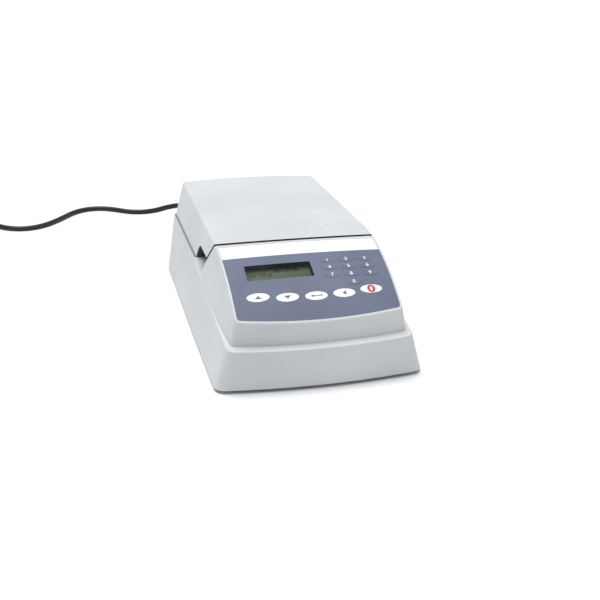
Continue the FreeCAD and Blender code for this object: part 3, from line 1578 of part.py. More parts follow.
def make_mains_plug(place, heading):
    """The moulded plug with its strain relief, two blades and a round ground pin."""
    relief = Part.makeCone(lead_diameter / 2 + relief_wall, relief_start_radius, plug_relief_length,
                           Vector(0, 0, 0), Vector(1, 0, 0))
    forwards = FreeCAD.Rotation(Vector(0, 1, 0), Vector(0, 0, 1), Vector(1, 0, 0), "ZXY")
    body = section_loft(plug_sections, Vector(plug_relief_length, 0, 0), forwards)
    front = plug_relief_length + plug_sections[-1][2]
    blade_z = plug_blade_z - plug_sections[-1][1] / 2
    pieces = [relief, body]
    for side in (-1, 1):
        y = side * plug_blade_pitch / 2
        pieces.append(box(front - wall, front + plug_blade_length, y - plug_blade_thickness / 2,
                          y + plug_blade_thickness / 2, blade_z - plug_blade_width / 2,
                          blade_z + plug_blade_width / 2))
    pieces.append(rod(front - wall, 0, blade_z + plug_ground_offset, plug_ground_radius,
                      wall + plug_ground_length, (1, 0, 0)))
    plug = joined(pieces)
    plug.rotate(Vector(0, 0, 0), Vector(0, 0, 1), math.degrees(heading))
    plug.translate(place)
    return plug


os.makedirs("parts", exist_ok=True)
save("base_housing", make_base_housing())
save("lid_shell", make_lid_shell())
save("lid_liner", make_lid_liner())
save("lid_insulation", make_lid_insulation())
save("lid_screws", make_lid_screws())
save("slide_plate", make_slide_plate())
save("plate_screws", make_plate_screws())
save("heater_mat", make_heater_mat())
save("chamber_frame", make_chamber_frame())
save("chamber_seal", make_chamber_seal())
save("heat_shield", make_heat_shield())
save("fan_frame", make_fan_frame())
save("fan_rotor", make_fan_rotor())
save("bottom_plate", make_bottom_plate())
save("bottom_screws", make_bottom_screws())
save("feet", make_feet())
save("hinge_base_leaves", both_sides(make_hinge_leaf(False)))
save("hinge_lid_leaves", both_sides(make_hinge_leaf(True)))
save("hinge_pins", make_hinge_pins())
save("hinge_base_screws", make_hinge_screws(False))
save("hinge_lid_screws", make_hinge_screws(True))
save("control_overlay", make_control_overlay())
save("keypad_membrane", make_keypad_membrane())
save("key_domes", make_key_domes())
for key_name, key_x, key_from_front, long_side, short_side in key_places():
    save(key_name, make_key(key_x, key_from_front, long_side, short_side))
save("display_window", make_display_window())
save("display_bezel", make_display_bezel())
save("display_glass", make_display_glass())
save("display_board", make_display_board())
save("keypad_tail", make_keypad_tail())
save("control_board", make_control_board())
save("power_supply", make_power_supply())
save("temperature_sensor", make_temperature_sensor())
save("thermal_cutout", make_thermal_cutout())
save("power_inlet", make_power_inlet())
save("fuse_drawer", make_fuse_drawer())
save("switch_housing", make_switch_housing())
save("switch_rocker", make_switch_rocker())
save("cord_connector", make_cord_connector())

lead_tube, lead_part = tube_along("lead", lead_route)
tail_part = 2 * tail_run
turns_needed = coil_turns(lead_part, tail_part)
tail_points = tail_route(turns_needed)
tail_tube, tail_part = tube_along("tail", tail_points)
plug_heading = tail_points[-1] - tail_points[-2]
print("coil: %.3f turns" % turns_needed)
save("power_cord_lead", [lead_tube, tail_tube])
save("power_cord_coil", make_power_cord_coil())
save("cord_tie", make_cord_tie())
save("mains_plug", make_mains_plug(tail_points[-1], math.atan2(plug_heading.y, plug_heading.x)))
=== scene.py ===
import math

import bmesh
import bpy
from mathutils import Matrix, Vector
from mathutils.bvhtree import BVHTree


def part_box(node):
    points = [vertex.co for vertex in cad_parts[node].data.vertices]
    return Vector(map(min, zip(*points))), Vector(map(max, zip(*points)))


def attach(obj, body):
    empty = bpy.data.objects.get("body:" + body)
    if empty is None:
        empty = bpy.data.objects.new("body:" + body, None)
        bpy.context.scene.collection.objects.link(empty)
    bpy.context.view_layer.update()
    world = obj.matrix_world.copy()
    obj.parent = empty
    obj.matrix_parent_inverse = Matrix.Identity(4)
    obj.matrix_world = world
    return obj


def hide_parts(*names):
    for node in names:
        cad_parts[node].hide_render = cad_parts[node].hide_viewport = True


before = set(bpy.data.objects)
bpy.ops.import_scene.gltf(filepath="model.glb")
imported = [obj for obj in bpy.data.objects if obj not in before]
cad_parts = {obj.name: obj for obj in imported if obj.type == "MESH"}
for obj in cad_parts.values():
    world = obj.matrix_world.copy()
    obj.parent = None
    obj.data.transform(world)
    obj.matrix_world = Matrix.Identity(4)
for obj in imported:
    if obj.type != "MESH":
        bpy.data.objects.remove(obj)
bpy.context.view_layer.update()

# The camera stands in front, a little to the left and above, as the photographer did,
# and the picture is square. The angles are in degrees and the lengths in millimetres.
mm = 0.001
camera_turn = math.radians(-14.808)
camera_rise = math.radians(21.601)
camera_roll = math.radians(0.852)
camera_distance = 1121.395
camera_target = Vector((13.651, -61.574, 39.861))
picture_width = 600.0
focal_pixels = 895.038

camera_data = bpy.data.cameras.new("camera")
camera_data.lens = camera_data.sensor_width * focal_pixels / picture_width
camera_data.clip_end = 100.0
camera = bpy.data.objects.new("camera", camera_data)
bpy.context.scene.collection.objects.link(camera)
level = math.cos(camera_rise)
back = Vector((math.sin(camera_turn) * level, -math.cos(camera_turn) * level, math.sin(camera_rise)))
right = Vector((0, 0, 1)).cross(back).normalized()
up = back.cross(right)
across = right * math.cos(camera_roll) + up * math.sin(camera_roll)
upward = up * math.cos(camera_roll) - right * math.sin(camera_roll)
camera.matrix_world = Matrix.Translation((camera_target + back * camera_distance) * mm) @ (
    Matrix((across, upward, back)).transposed().to_4x4()
)
bpy.context.scene.camera = camera
bpy.context.scene.view_settings.view_transform = "Standard"


class Tone:
    """One number or colour in a finish; arithmetic on it adds the nodes that work it out."""

    def __init__(self, finish, socket):
        self.finish = finish
        self.socket = socket

    def worked(self, operation, first, second=0.0):
        return self.finish.node("ShaderNodeMath", {"operation": operation}, {0: first, 1: second})

    def __add__(self, other):
        return self.worked("ADD", self, other)

    __radd__ = __add__

    def __sub__(self, other):
        return self.worked("SUBTRACT", self, other)

    def __rsub__(self, other):
        return self.worked("SUBTRACT", other, self)

    def __mul__(self, other):
        return self.worked("MULTIPLY", self, other)

    __rmul__ = __mul__

    def __truediv__(self, other):
        return self.worked("DIVIDE", self, other)

    def __gt__(self, other):
        return self.worked("GREATER_THAN", self, other)

    def __lt__(self, other):
        return self.worked("LESS_THAN", self, other)

    def __abs__(self):
        return self.worked("ABSOLUTE", self)

    def over(self, step):
        """The place within one step of a pattern that repeats, from 0 to 1."""
        return self.worked("FRACT", self / step)

    def within(self, low, high):
        """1 where the value lies between two limits, and 0 elsewhere."""
        return (self > low) * (self < high)


class Finish:
    """A procedural material: the shader, and the pattern nodes that feed it."""

    def __init__(self, name, **constants):
        self.material = bpy.data.materials.new(name)
        self.material.use_nodes = True
        self.tree = self.material.node_tree
        self.shader = next(n for n in self.tree.nodes if n.type == "BSDF_PRINCIPLED")
        for socket, value in constants.items():
            self.shader.inputs[socket.replace("_", " ")].default_value = value
        self.place = self.node("ShaderNodeTexCoord", {}, {}, "Object")

    def join(self, socket, value):
        if isinstance(value, Tone):
            self.tree.links.new(value.socket, socket)
        else:
            socket.default_value = value

    def node(self, kind, settings, sockets, output=0):
        made = self.tree.nodes.new(kind)
        for name, value in settings.items():
            setattr(made, name, value)
        for name, value in sockets.items():
            self.join(made.inputs[name], value)
        return Tone(self, made.outputs[output])

    def along(self, direction, middle=(0.0, 0.0, 0.0)):
        """How far a point lies from the middle along a direction, in metres."""
        offset = self.node(
            "ShaderNodeVectorMath", {"operation": "SUBTRACT"}, {0: self.place, 1: tuple(middle)}
        )
        return self.node(
            "ShaderNodeVectorMath", {"operation": "DOT_PRODUCT"}, {0: offset, 1: tuple(direction)}, "Value"
        )

    def noise(self, scale, detail=2.0, stretch=(1.0, 1.0, 1.0)):
        stretched = self.node(
            "ShaderNodeVectorMath", {"operation": "MULTIPLY"}, {0: self.place, 1: stretch}
        )
        return self.node(
            "ShaderNodeTexNoise", {}, {"Vector": stretched, "Scale": scale, "Detail": detail}, 0
        )

    def cells(self, scale, output="Distance"):
        return self.node("ShaderNodeTexVoronoi", {}, {"Vector": self.place, "Scale": scale}, output)

    def ease(self, value, low, high, first=0.0, last=1.0):
        return self.node(
            "ShaderNodeMapRange",
            {"interpolation_type": "SMOOTHSTEP"},
            {"Value": value, "From Min": low, "From Max": high, "To Min": first, "To Max": last},
        )

    def blend(self, share, first, second):
        return self.node("ShaderNodeMix", {"data_type": "RGBA"}, {0: share, 6: first, 7: second}, 2)

    def larger(self, first, second):
        return first.worked("MAXIMUM", first, second)

    def set(self, **tones):
        for socket, value in tones.items():
            self.join(self.shader.inputs[socket.replace("_", " ")], value)

    def cover(self, share, colour):
        """Lays a colour over the one that the finish has, by its share."""
        below = Tone(self, self.shader.inputs["Base Color"].links[0].from_socket)
        self.set(Base_Color=self.blend(share, below, colour))

    def relief(self, height, depth):
        """Raises the surface by height times depth, in metres."""
        normal = self.node("ShaderNodeBump", {}, {"Height": height, "Distance": depth}, "Normal")
        self.join(self.shader.inputs["Normal"], normal)


def srgb(red, green, blue):
    """A colour given as it looks on a screen, from 0 to 255, as light."""
    parts = [number / 255 for number in (red, green, blue)]
    return (*[p / 12.92 if p <= 0.04045 else ((p + 0.055) / 1.055) ** 2.4 for p in parts], 1.0)


def dress(finish, *nodes):
    """Gives CAD nodes a finish on their own slots."""
    for name in nodes:
        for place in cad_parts[name].material_slots:
            place.material = finish.material


def moulded(name, dark, light, roughness=0.5, grain=1500.0, depth=0.00003, **constants):
    """Injection-moulded plastic: a slow drift of tone and the fine grain of a spark-eroded mould."""
    finish = Finish(name, **constants)
    drift = finish.noise(9.0, 3.0)
    grit = finish.noise(grain, 2.0)
    finish.set(
        Base_Color=finish.blend(finish.ease(drift * 0.75 + grit * 0.25, 0.35, 0.65), dark, light),
        Roughness=roughness - 0.05 + grit * 0.1 + finish.ease(drift, 0.4, 0.7) * 0.03,
    )
    finish.relief(grit, depth)
    return finish


# The mains lead is round black PVC flex, 7.8 mm thick and 1.8 m long. It leaves the connector,
# sags to the bench, wanders off behind the body and ends in a neat coil with its tie and plug.
lead_radius = 3.9
lead_exit = (46.0, 270.08, 22.4)
lead_floor = 3.9
lead_route = [
    lead_exit, (46, 300, 22.4), (45, 336, 17), (42, 376, 9.5), (36, 417, 5), (26, 457, lead_floor),
    (7, 493, lead_floor), (-18, 522, lead_floor), (-41, 536, lead_floor), (-67, 537, lead_floor),
    (-89, 526, lead_floor), (-107, 511, lead_floor), (-131, 504, lead_floor), (-157, 511, lead_floor),
    (-180, 532, lead_floor), (-205, 545, lead_floor), (-231, 542, lead_floor), (-253, 525, lead_floor),
    (-272, 494, lead_floor), (-293, 464, lead_floor), (-315, 446, lead_floor), (-341, 442, lead_floor),
    (-366, 454, lead_floor), (-385, 477, 4.4), (-402, 505, 5.4),
]
coil_middle = (-448.2, 477.0)
coil_start_angle = math.atan2(505 - coil_middle[1], -402 - coil_middle[0])
coil_inner_radius = 37.8
coil_spacing = 8.1
coil_lower_turns = 2.0
coil_rise_turns = 0.4
coil_turns = 3.482
coil_floor = 5.4
points_per_turn = 16
lead_tail = [(-493.4, 456.2, 13.5), (-480.1, 424.9, 13.0), (-471.3, 392.0, 12.5)]
lead_points = [Vector(point) for point in lead_route]
outside_turn = math.cos(math.pi / points_per_turn)
for count in range(1, int(coil_turns * points_per_turn)):
    turned = count / points_per_turn
    radius = (coil_inner_radius + coil_spacing * abs(turned - coil_lower_turns)) / outside_turn
    angle = coil_start_angle + math.tau * turned
    climb = min(max((turned - coil_lower_turns) / coil_rise_turns + 0.5, 0.0), 1.0)
    lead_points.append(
        Vector(
            (
                coil_middle[0] + radius * math.cos(angle),
                coil_middle[1] + radius * math.sin(angle),
                coil_floor + coil_spacing * climb,
            )
        )
    )
lead_points += [Vector(point) for point in lead_tail]

lead_curve = bpy.data.curves.new("power_cord", "CURVE")
lead_curve.dimensions = "3D"
lead_curve.bevel_depth = lead_radius * mm
lead_curve.bevel_resolution = 5
lead_curve.resolution_u = 8
lead_curve.use_fill_caps = True
lead_line = lead_curve.splines.new("NURBS")
lead_line.points.add(len(lead_points) - 1)
for control, point in zip(lead_line.points, lead_points):
    control.co = (*(point * mm), 1.0)
lead_line.order_u = 3
lead_line.use_endpoint_u = True
power_cord = bpy.data.objects.new("power_cord", lead_curve)
bpy.context.scene.collection.objects.link(power_cord)
rubber = moulded(
    "cord_pvc", srgb(24, 24, 26), srgb(36, 36, 39), roughness=0.42, grain=900.0, depth=0.00004
)
lead_curve.materials.append(rubber.material)
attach(power_cord, "base")
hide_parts("power_cord_lead", "power_cord_coil")
dress(rubber, "cord_connector", "mains_plug")


def new_piece(name, shape, finish):
    """Makes an object of a built shape, its faces turned outward, in a finish."""
    bmesh.ops.recalc_face_normals(shape, faces=shape.faces)
    mesh = bpy.data.meshes.new(name)
    shape.to_mesh(mesh)
    shape.free()
    mesh.materials.append(finish.material)
    piece = bpy.data.objects.new(name, mesh)
    bpy.context.scene.collection.objects.link(piece)
    return piece


def fix(piece, body):
    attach(piece, body)


# The tie is a black hook-and-loop strap, woven with a napped face. It is pulled tight round
# the turns on the far side of the coil, and its end is pressed down on top.
strap_width = 14.0
strap_thickness = 1.1
strap_ease = 0.4
strap_edge = 0.3
strap_steps = 48
strap_clearance = 0.15
strap_tab = 17.0
strap_turns = (0.163, 1.163, 2.163, 3.163)
strap = Finish("strap_nylon", Roughness=0.85)
rib_u = abs(strap.along((0, 0, 1)).over(0.0009) - 0.5)
rib_v = abs(strap.along((1, 0, 0)).over(0.0013) - 0.5)
nap = strap.noise(1800.0, 3.0)
strap.set(Base_Color=strap.blend(rib_u + nap * 0.5, srgb(18, 18, 20), srgb(44, 44, 48)))
strap.relief(rib_u + rib_v + nap, 0.0002)
strap_sides = []
for turned in strap_turns:
    climb = min(max((turned - coil_lower_turns) / coil_rise_turns + 0.5, 0.0), 1.0)
    for step in range(strap_steps):
        angle = math.tau * step / strap_steps
        reach = lead_radius + strap_clearance + strap_thickness / 2
        strap_sides.append(
            (
                coil_inner_radius + coil_spacing * abs(turned - coil_lower_turns) + reach * math.cos(angle),
                coil_floor + coil_spacing * climb + reach * math.sin(angle),
            )
        )


def tight_loop(points):
    """The loop that a strap pulled tight round the points takes, counterclockwise."""
    points = sorted(points)
    halves = []
    for run in (points, points[::-1]):
        half = []
        for point in run:
            while len(half) > 1 and (
                (half[-1][0] - half[-2][0]) * (point[1] - half[-2][1])
                - (half[-1][1] - half[-2][1]) * (point[0] - half[-2][0])
            ) <= 0:
                half.pop()
            half.append(point)
        halves += half[:-1]
    return halves


def strap_band(shape, line, closed, lift):
    """Sweeps the strap's flat section, with its eased edges, along a line seen from its edge."""
    half = strap_width / 2
    flat = half - strap_ease
    face = strap_thickness / 2
    section = [(-half, -strap_edge), (-flat, -face), (flat, -face), (half, -strap_edge)]
    section += [(half, strap_edge), (flat, face), (-flat, face), (-half, strap_edge)]
    rings = []
    for index, (reach, height) in enumerate(line):
        before = line[index - 1] if closed or index else line[0]
        after = line[(index + 1) % len(line)] if closed or index + 1 < len(line) else line[-1]
        along = Vector((after[0] - before[0], after[1] - before[1])).normalized()
        out = Vector((along.y, -along.x))
        rings.append(
            [
                shape.verts.new(
                    Vector(
                        (
                            coil_middle[0] + side,
                            coil_middle[1] + reach + out.x * (rise + lift),
                            height + out.y * (rise + lift),
                        )
                    ) * mm
                )
                for side, rise in section
            ]
        )
    runs = len(rings) if closed else len(rings) - 1
    for index in range(runs):
        ahead = rings[(index + 1) % len(rings)]
        for corner in range(len(section)):
            beyond = (corner + 1) % len(section)
            shape.faces.new((rings[index][corner], rings[index][beyond], ahead[beyond], ahead[corner]))
    if not closed:
        shape.faces.new(rings[0])
        shape.faces.new(list(reversed(rings[-1])))


strap_line = tight_loop(strap_sides)
strap_shape = bmesh.new()
strap_band(strap_shape, strap_line, True, 0.0)
strap_top = max(range(len(strap_line)), key=lambda index: strap_line[index][1])
tab_line = []
tab_run = 0.0
index = strap_top
while tab_run < strap_tab:
    tab_line.append(strap_line[index % len(strap_line)])
    ahead = strap_line[(index + 1) % len(strap_line)]
    tab_run += math.dist(tab_line[-1], ahead)
    index += 1
strap_band(strap_shape, tab_line, False, strap_thickness)
cord_strap = new_piece("cord_strap", strap_shape, strap)
fix(cord_strap, "base")
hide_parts("cord_tie")


class Growth:
    """A Geometry Nodes tree with named inputs, run on a piece and kept as a plain mesh."""

    kinds = {float: "NodeSocketFloat", int: "NodeSocketInt", tuple: "NodeSocketVector"}

    def __init__(self, name, **values):
        self.tree = bpy.data.node_groups.new(name, "GeometryNodeTree")
        face = self.tree.interface
        face.new_socket("Geometry", in_out="INPUT", socket_type="NodeSocketGeometry")
        self.values = {}
        for label, value in values.items():
            kind = self.kinds.get(type(value), "NodeSocketMaterial")
            socket = face.new_socket(label, in_out="INPUT", socket_type=kind)
            self.values[socket.identifier] = value
        face.new_socket("Geometry", in_out="OUTPUT", socket_type="NodeSocketGeometry")
        self.start = self.tree.nodes.new("NodeGroupInput").outputs

    def node(self, kind, settings, sockets, output=0):
        made = self.tree.nodes.new(kind)
        for name, value in settings.items():
            setattr(made, name, value)
        for name, value in sockets.items():
            if isinstance(value, bpy.types.NodeSocket):
                self.tree.links.new(value, made.inputs[name])
            else:
                made.inputs[name].default_value = value
        return made.outputs[output]

    def grow(self, name, geometry, points=()):
        """Ends the tree in real faces with the finish, runs it, and returns the piece."""
        real = self.node("GeometryNodeRealizeInstances", {}, {"Geometry": geometry})
        made = self.node(
            "GeometryNodeSetMaterial", {}, {"Geometry": real, "Material": self.start["Finish"]}
        )
        self.tree.links.new(made, self.tree.nodes.new("NodeGroupOutput").inputs[0])
        seed = bpy.data.meshes.new(name + "_points")
        seed.from_pydata([tuple(point) for point in points], [], [])
        piece = bpy.data.objects.new(name, seed)
        bpy.context.scene.collection.objects.link(piece)
        grower = piece.modifiers.new("growth", "NODES")
        grower.node_group = self.tree
        for identifier, value in self.values.items():
            grower[identifier] = value
        bpy.context.view_layer.update()
        ready = piece.evaluated_get(bpy.context.evaluated_depsgraph_get())
        mesh = bpy.data.meshes.new_from_object(ready)
        piece.modifiers.remove(grower)
        piece.data = mesh
        mesh.name = name
        return piece


# The strain reliefs of the connector and the plug are soft PVC cones moulded over the lead,
# ringed with raised ribs that grow with the cone, so that they bend without kinking.
relief_thin = 4.7
relief_thick = 6.2
rib_count = 6
rib_height = 0.55
plug_heading = math.radians(-75.0)
plug_start = Vector(lead_tail[-1])
plug_way = Vector((math.cos(plug_heading), math.sin(plug_heading), 0.0))
relief_ends = {
    "connector_ribs": (Vector(lead_exit) + Vector((0, -3, 0)), Vector(lead_exit) + Vector((0, -26, 0))),
    "plug_ribs": (plug_start + plug_way * 3, plug_start + plug_way * 23),
}
relief_ribs = []
for name, (thin_end, thick_end) in relief_ends.items():
    ribs = Growth(
        name, Start=tuple(thin_end * mm), End=tuple(thick_end * mm), Count=rib_count,
        Turn=tuple((thick_end - thin_end).to_track_quat("Z", "Y").to_euler()),
        Thin=relief_thin * mm, Thick=relief_thick * mm, Rib=rib_height / relief_thin,
        Finish=rubber.material,
    )
    row = ribs.node(
        "GeometryNodeMeshLine", {"mode": "END_POINTS"},
        {"Count": ribs.start["Count"], "Start Location": ribs.start["Start"], "Offset": ribs.start["End"]},
    )
    hoop = ribs.node("GeometryNodeCurvePrimitiveCircle", {}, {"Resolution": 40, "Radius": 1.0})
    bead = ribs.node("GeometryNodeCurvePrimitiveCircle", {}, {"Resolution": 10, "Radius": ribs.start["Rib"]})
    ring = ribs.node("GeometryNodeCurveToMesh", {}, {"Curve": hoop, "Profile Curve": bead})
    place = ribs.node("GeometryNodeInputIndex", {}, {})
    size = ribs.node(
        "ShaderNodeMapRange", {},
        {
            "Value": place, "From Max": rib_count - 1.0,
            "To Min": ribs.start["Thin"], "To Max": ribs.start["Thick"],
        },
    )
    rings = ribs.node(
        "GeometryNodeInstanceOnPoints", {},
        {"Points": row, "Instance": ring, "Rotation": ribs.start["Turn"], "Scale": size},
    )
    relief_ribs.append(ribs.grow(name, rings))
    fix(relief_ribs[-1], "base")

# The base housing is one moulding in pale grey ABS, its walls drafted and its corners rounded,
# with a fine grain from the mould.
housing_plastic = moulded(
    "housing_abs", srgb(209, 211, 211), srgb(217, 219, 219), roughness=0.5, Specular_IOR_Level=0.4
)
gap_front_y = -88.5
gap_top_z = 128.49
gap_width = 2.0
gap_edge = 0.45
gap_lip = 0.9
gap_fade_low = 119.0
gap_fade_high = 127.0
gap_side_x = 97.0
gap_reach = 3.0
rim_outer_x = 103.0
rim_back_y = 209.0
rim_shade_share = 0.65
rim_low_z = 83.9
rim_gap = 0.7
bend_y = 1.6
gap_shade = srgb(52, 53, 55)


def shade_gaps(finish):
    """Paints shade into the joint behind the console, which slants, and into the joint at the rim."""
    slant = finish.along((0, math.sqrt(0.5), math.sqrt(0.5)), (0, gap_front_y * mm, gap_top_z * mm))
    behind_console = slant.within(-gap_lip * mm, (gap_width + gap_lip) * mm)
    height = finish.along((0, 0, 1))
    aside = abs(finish.along((1, 0, 0)))
    back = finish.along((0, 1, 0))
    near_top = finish.ease(height, gap_fade_low * mm, gap_fade_high * mm)
    at_side = (aside > gap_side_x * mm) * (height > rim_low_z * mm)
    finish.cover(behind_console * finish.larger(near_top, at_side), gap_shade)
    near_skin = finish.larger(aside > (rim_outer_x - gap_reach) * mm, back > (rim_back_y - gap_reach) * mm)
    at_rim = height.within((rim_low_z - gap_edge) * mm, (rim_low_z + rim_gap + gap_edge) * mm)
    finish.cover(at_rim * near_skin * (back > bend_y * mm) * rim_shade_share, gap_shade)


# Painted shade darkens the housing's faces in the joints behind the console and at the rim.
shade_gaps(housing_plastic)
dress(housing_plastic, "base_housing")

# The lid shell is moulded in the same pale grey plastic as the base. Its top has a few
# fine light scratches from years of use.
scratch_lines = [
    (45.5, -54.0, 25.0, -1.38, 0.9), (22.6, -74.3, 19.0, 0.87, 0.7), (14.1, -44.4, 25.0, -1.54, 0.5),
    (39.3, -37.1, 11.0, 0.04, 0.5), (62.0, 20.0, 22.0, 0.4, 0.3), (-40.0, 90.0, 26.0, 1.1, 0.3),
]
lid_top_low = 0.11
lid_plastic = moulded(
    "lid_abs", srgb(210, 212, 213), srgb(218, 220, 221), roughness=0.48, Specular_IOR_Level=0.4
)
scratches = 0.0
for scratch_x, scratch_y, length, heading, width in scratch_lines:
    middle = (scratch_x * mm, scratch_y * mm, 0.0)
    run = abs(lid_plastic.along((math.cos(heading), math.sin(heading), 0.0), middle))
    off = abs(lid_plastic.along((-math.sin(heading), math.cos(heading), 0.0), middle))
    scratches = scratches + (run < length / 2 * mm) * (off < width / 2 * mm)
scratches = (
    scratches
    * lid_plastic.ease(lid_plastic.noise(420.0, 3.0), 0.35, 0.55)
    * (lid_plastic.along((0, 0, 1)) > lid_top_low)
)
lid_plastic.cover(scratches * 0.9, srgb(252, 252, 253))
# Painted shade darkens the lid's faces in the joints behind the console and at the rim.
shade_gaps(lid_plastic)
# The lid's faces inside the finger notches get painted shade, in the same dark grey as the joints.
notch_low_z = 82.9
notch_top_z = 104.2
notch_inner_x = 84.0
notch_outer_x = 105.8
lid_side_draft = 0.21
notch_front_y = -60.0
notch_back_y = 2.4
notch_shade_share = 0.95
height = lid_plastic.along((0, 0, 1))
aside = abs(lid_plastic.along((1, 0, 0)))
upright_side = aside + (height - rim_low_z * mm) * lid_side_draft
slant = lid_plastic.along((0, math.sqrt(0.5), math.sqrt(0.5)), (0, gap_front_y * mm, gap_top_z * mm))
in_notch = height.within(notch_low_z * mm, notch_top_z * mm)
in_notch = in_notch * (aside > notch_inner_x * mm) * (upright_side < notch_outer_x * mm)
in_notch = in_notch * lid_plastic.along((0, 1, 0)).within(notch_front_y * mm, notch_back_y * mm)
in_notch = in_notch * (slant > (gap_width + gap_edge) * mm)
lid_plastic.cover(in_notch * notch_shade_share, gap_shade)
dress(lid_plastic, "lid_shell")

# The lid liner and the chamber frame are satin polypropylene mouldings, a shade greyer than
# the shell, wiped often, with a faint drift of tone.
liner_plastic = moulded("liner_pp", srgb(192, 196, 198), srgb(204, 207, 209), roughness=0.36, grain=700.0)
dress(liner_plastic, "lid_liner", "chamber_frame")

# The insulation block in the lid is closed-cell foam, cream with small cells.
foam = Finish("closed_cell_foam", Roughness=0.9)
foam_cell = foam.cells(520.0)
foam.set(
    Base_Color=foam.blend(foam.ease(foam_cell, 0.05, 0.5), srgb(196, 190, 168), srgb(232, 226, 208))
)
foam.relief(foam_cell, 0.0006)
dress(foam, "lid_insulation")

# Screws, hinge leaves, pins, the heat shield and the bottom sheet are plated or brushed steel,
# with fine drawn lines along one direction and a few dull spots.
steel = Finish("brushed_steel", Metallic=1.0)
drawn = steel.noise(260.0, 4.0, (1.0, 24.0, 24.0))
dull = steel.noise(35.0, 3.0)
steel_tone = steel.ease(drawn + dull * 0.4, 0.4, 0.9)
steel.set(
    Base_Color=steel.blend(steel_tone, srgb(112, 115, 119), srgb(158, 161, 165)),
    Roughness=0.26 + drawn * 0.12 + steel.ease(dull, 0.5, 0.7) * 0.1,
)
steel.relief(drawn, 0.00002)
dress(
    steel, "hinge_base_leaves", "hinge_lid_leaves", "hinge_pins", "hinge_base_screws",
    "hinge_lid_screws", "lid_screws", "plate_screws", "bottom_screws", "heat_shield", "bottom_plate",
)

# The slide plate is hard-anodised aluminium, dark grey, milled with six rows of two pockets,
# and worn a little paler in scattered patches.
anodised = Finish("hard_anodised_plate", Metallic=0.55)
milled = anodised.noise(420.0, 3.0, (1.0, 9.0, 1.0))
worn = anodised.ease(anodised.noise(150.0, 5.0), 0.58, 0.75)
milled_tone = anodised.blend(milled, srgb(62, 66, 72), srgb(80, 84, 91))
anodised.set(
    Base_Color=anodised.blend(worn * 0.25, milled_tone, srgb(128, 131, 136)),
    Roughness=0.4 + milled * 0.12 - worn * 0.08,
)
anodised.relief(milled, 0.00002)
dress(anodised, "slide_plate")

# The heater mat is silicone rubber on glass cloth, orange-brown, with the weave pressed
# into its face and two soldered wires.
heater = Finish("silicone_on_glass_cloth", Roughness=0.62)
thread = 0.0011
warp = abs(heater.along((1, 0, 0)).over(thread) - 0.5)
weft = abs(heater.along((0, 1, 0)).over(thread) - 0.5)
heater.set(
    Base_Color=heater.blend(heater.ease(warp + weft, 0.2, 0.8), srgb(150, 66, 30), srgb(198, 98, 52))
)
heater.relief(warp + weft, 0.0002)
dress(heater, "heater_mat")

# The chamber seal is a soft translucent silicone cord laid in the frame's groove.
seal = moulded("seal_silicone_white", srgb(206, 206, 200), srgb(222, 222, 216), roughness=0.44, grain=500.0)
dress(seal, "chamber_seal")

# The fan and its frame are black glass-filled nylon, the fibres just showing in the skin.
fan_plastic = moulded(
    "fan_nylon", srgb(26, 27, 29), srgb(44, 45, 48), roughness=0.46, grain=1100.0, depth=0.00006
)
dress(fan_plastic, "fan_frame", "fan_rotor")

# The feet are soft black rubber discs glued under the bottom plate, with dust in the grain.
foot_rubber = moulded(
    "foot_rubber_black", srgb(30, 31, 33), srgb(52, 53, 55), roughness=0.8, grain=600.0, depth=0.0001
)
dress(foot_rubber, "feet")

# The control overlay is one printed polyester film. The face is slate blue with a fine velvet
# grain, and a plain white band runs along its top edge.
arc_middle_y = -46.7
arc_middle_z = -134.1
arc_radius = 265.9
crown_middle_z = -2668.2
crown_radius = 2800.0
panel_front_y = -224.2
band_low_y = -119.3
overlay_film = Finish("overlay_print", Specular_IOR_Level=0.2)
velvet = overlay_film.noise(2600.0, 2.0)
ink = overlay_film.noise(14.0, 3.0)
slate = overlay_film.blend(
    overlay_film.ease(ink * 0.7 + velvet * 0.3, 0.35, 0.65), srgb(108, 115, 135), srgb(116, 123, 143)
)
in_band = overlay_film.along((0, 1, 0)) > band_low_y * mm
overlay_film.set(
    Base_Color=overlay_film.blend(in_band, slate, srgb(244, 245, 248)), Roughness=0.5 + velvet * 0.1
)
overlay_film.relief(velvet, 0.00002)
digit_keys = [f"key_{number}" for number in range(10)]
dress(overlay_film, "control_overlay", *digit_keys)


def panel_frame(x, from_front, lift=0.0):
    """The upright frame that stands on the panel there: its place, and Z along the outward way."""
    y = panel_front_y + from_front
    angle = math.asin((arc_middle_y - y) / arc_radius)
    turn = math.asin(x / crown_radius)
    reach = arc_middle_z + arc_radius * math.cos(angle) - crown_middle_z
    place = Vector((reach * math.sin(turn), y, crown_middle_z + reach * math.cos(turn)))
    out = Vector((math.sin(turn) * math.cos(angle), -math.sin(angle), math.cos(turn) * math.cos(angle)))
    stand = Vector((0, 0, 1)).rotation_difference(out).to_matrix().to_4x4()
    return Matrix.Translation((place + out * lift) * mm) @ stand @ Matrix.Scale(mm, 4)


def along_panel(from_front, distance):
    """The depth from the front reached by going up the panel's curve by a distance."""
    angle = math.asin((arc_middle_y - panel_front_y - from_front) / arc_radius) - distance / arc_radius
    return arc_middle_y - arc_radius * math.sin(angle) - panel_front_y


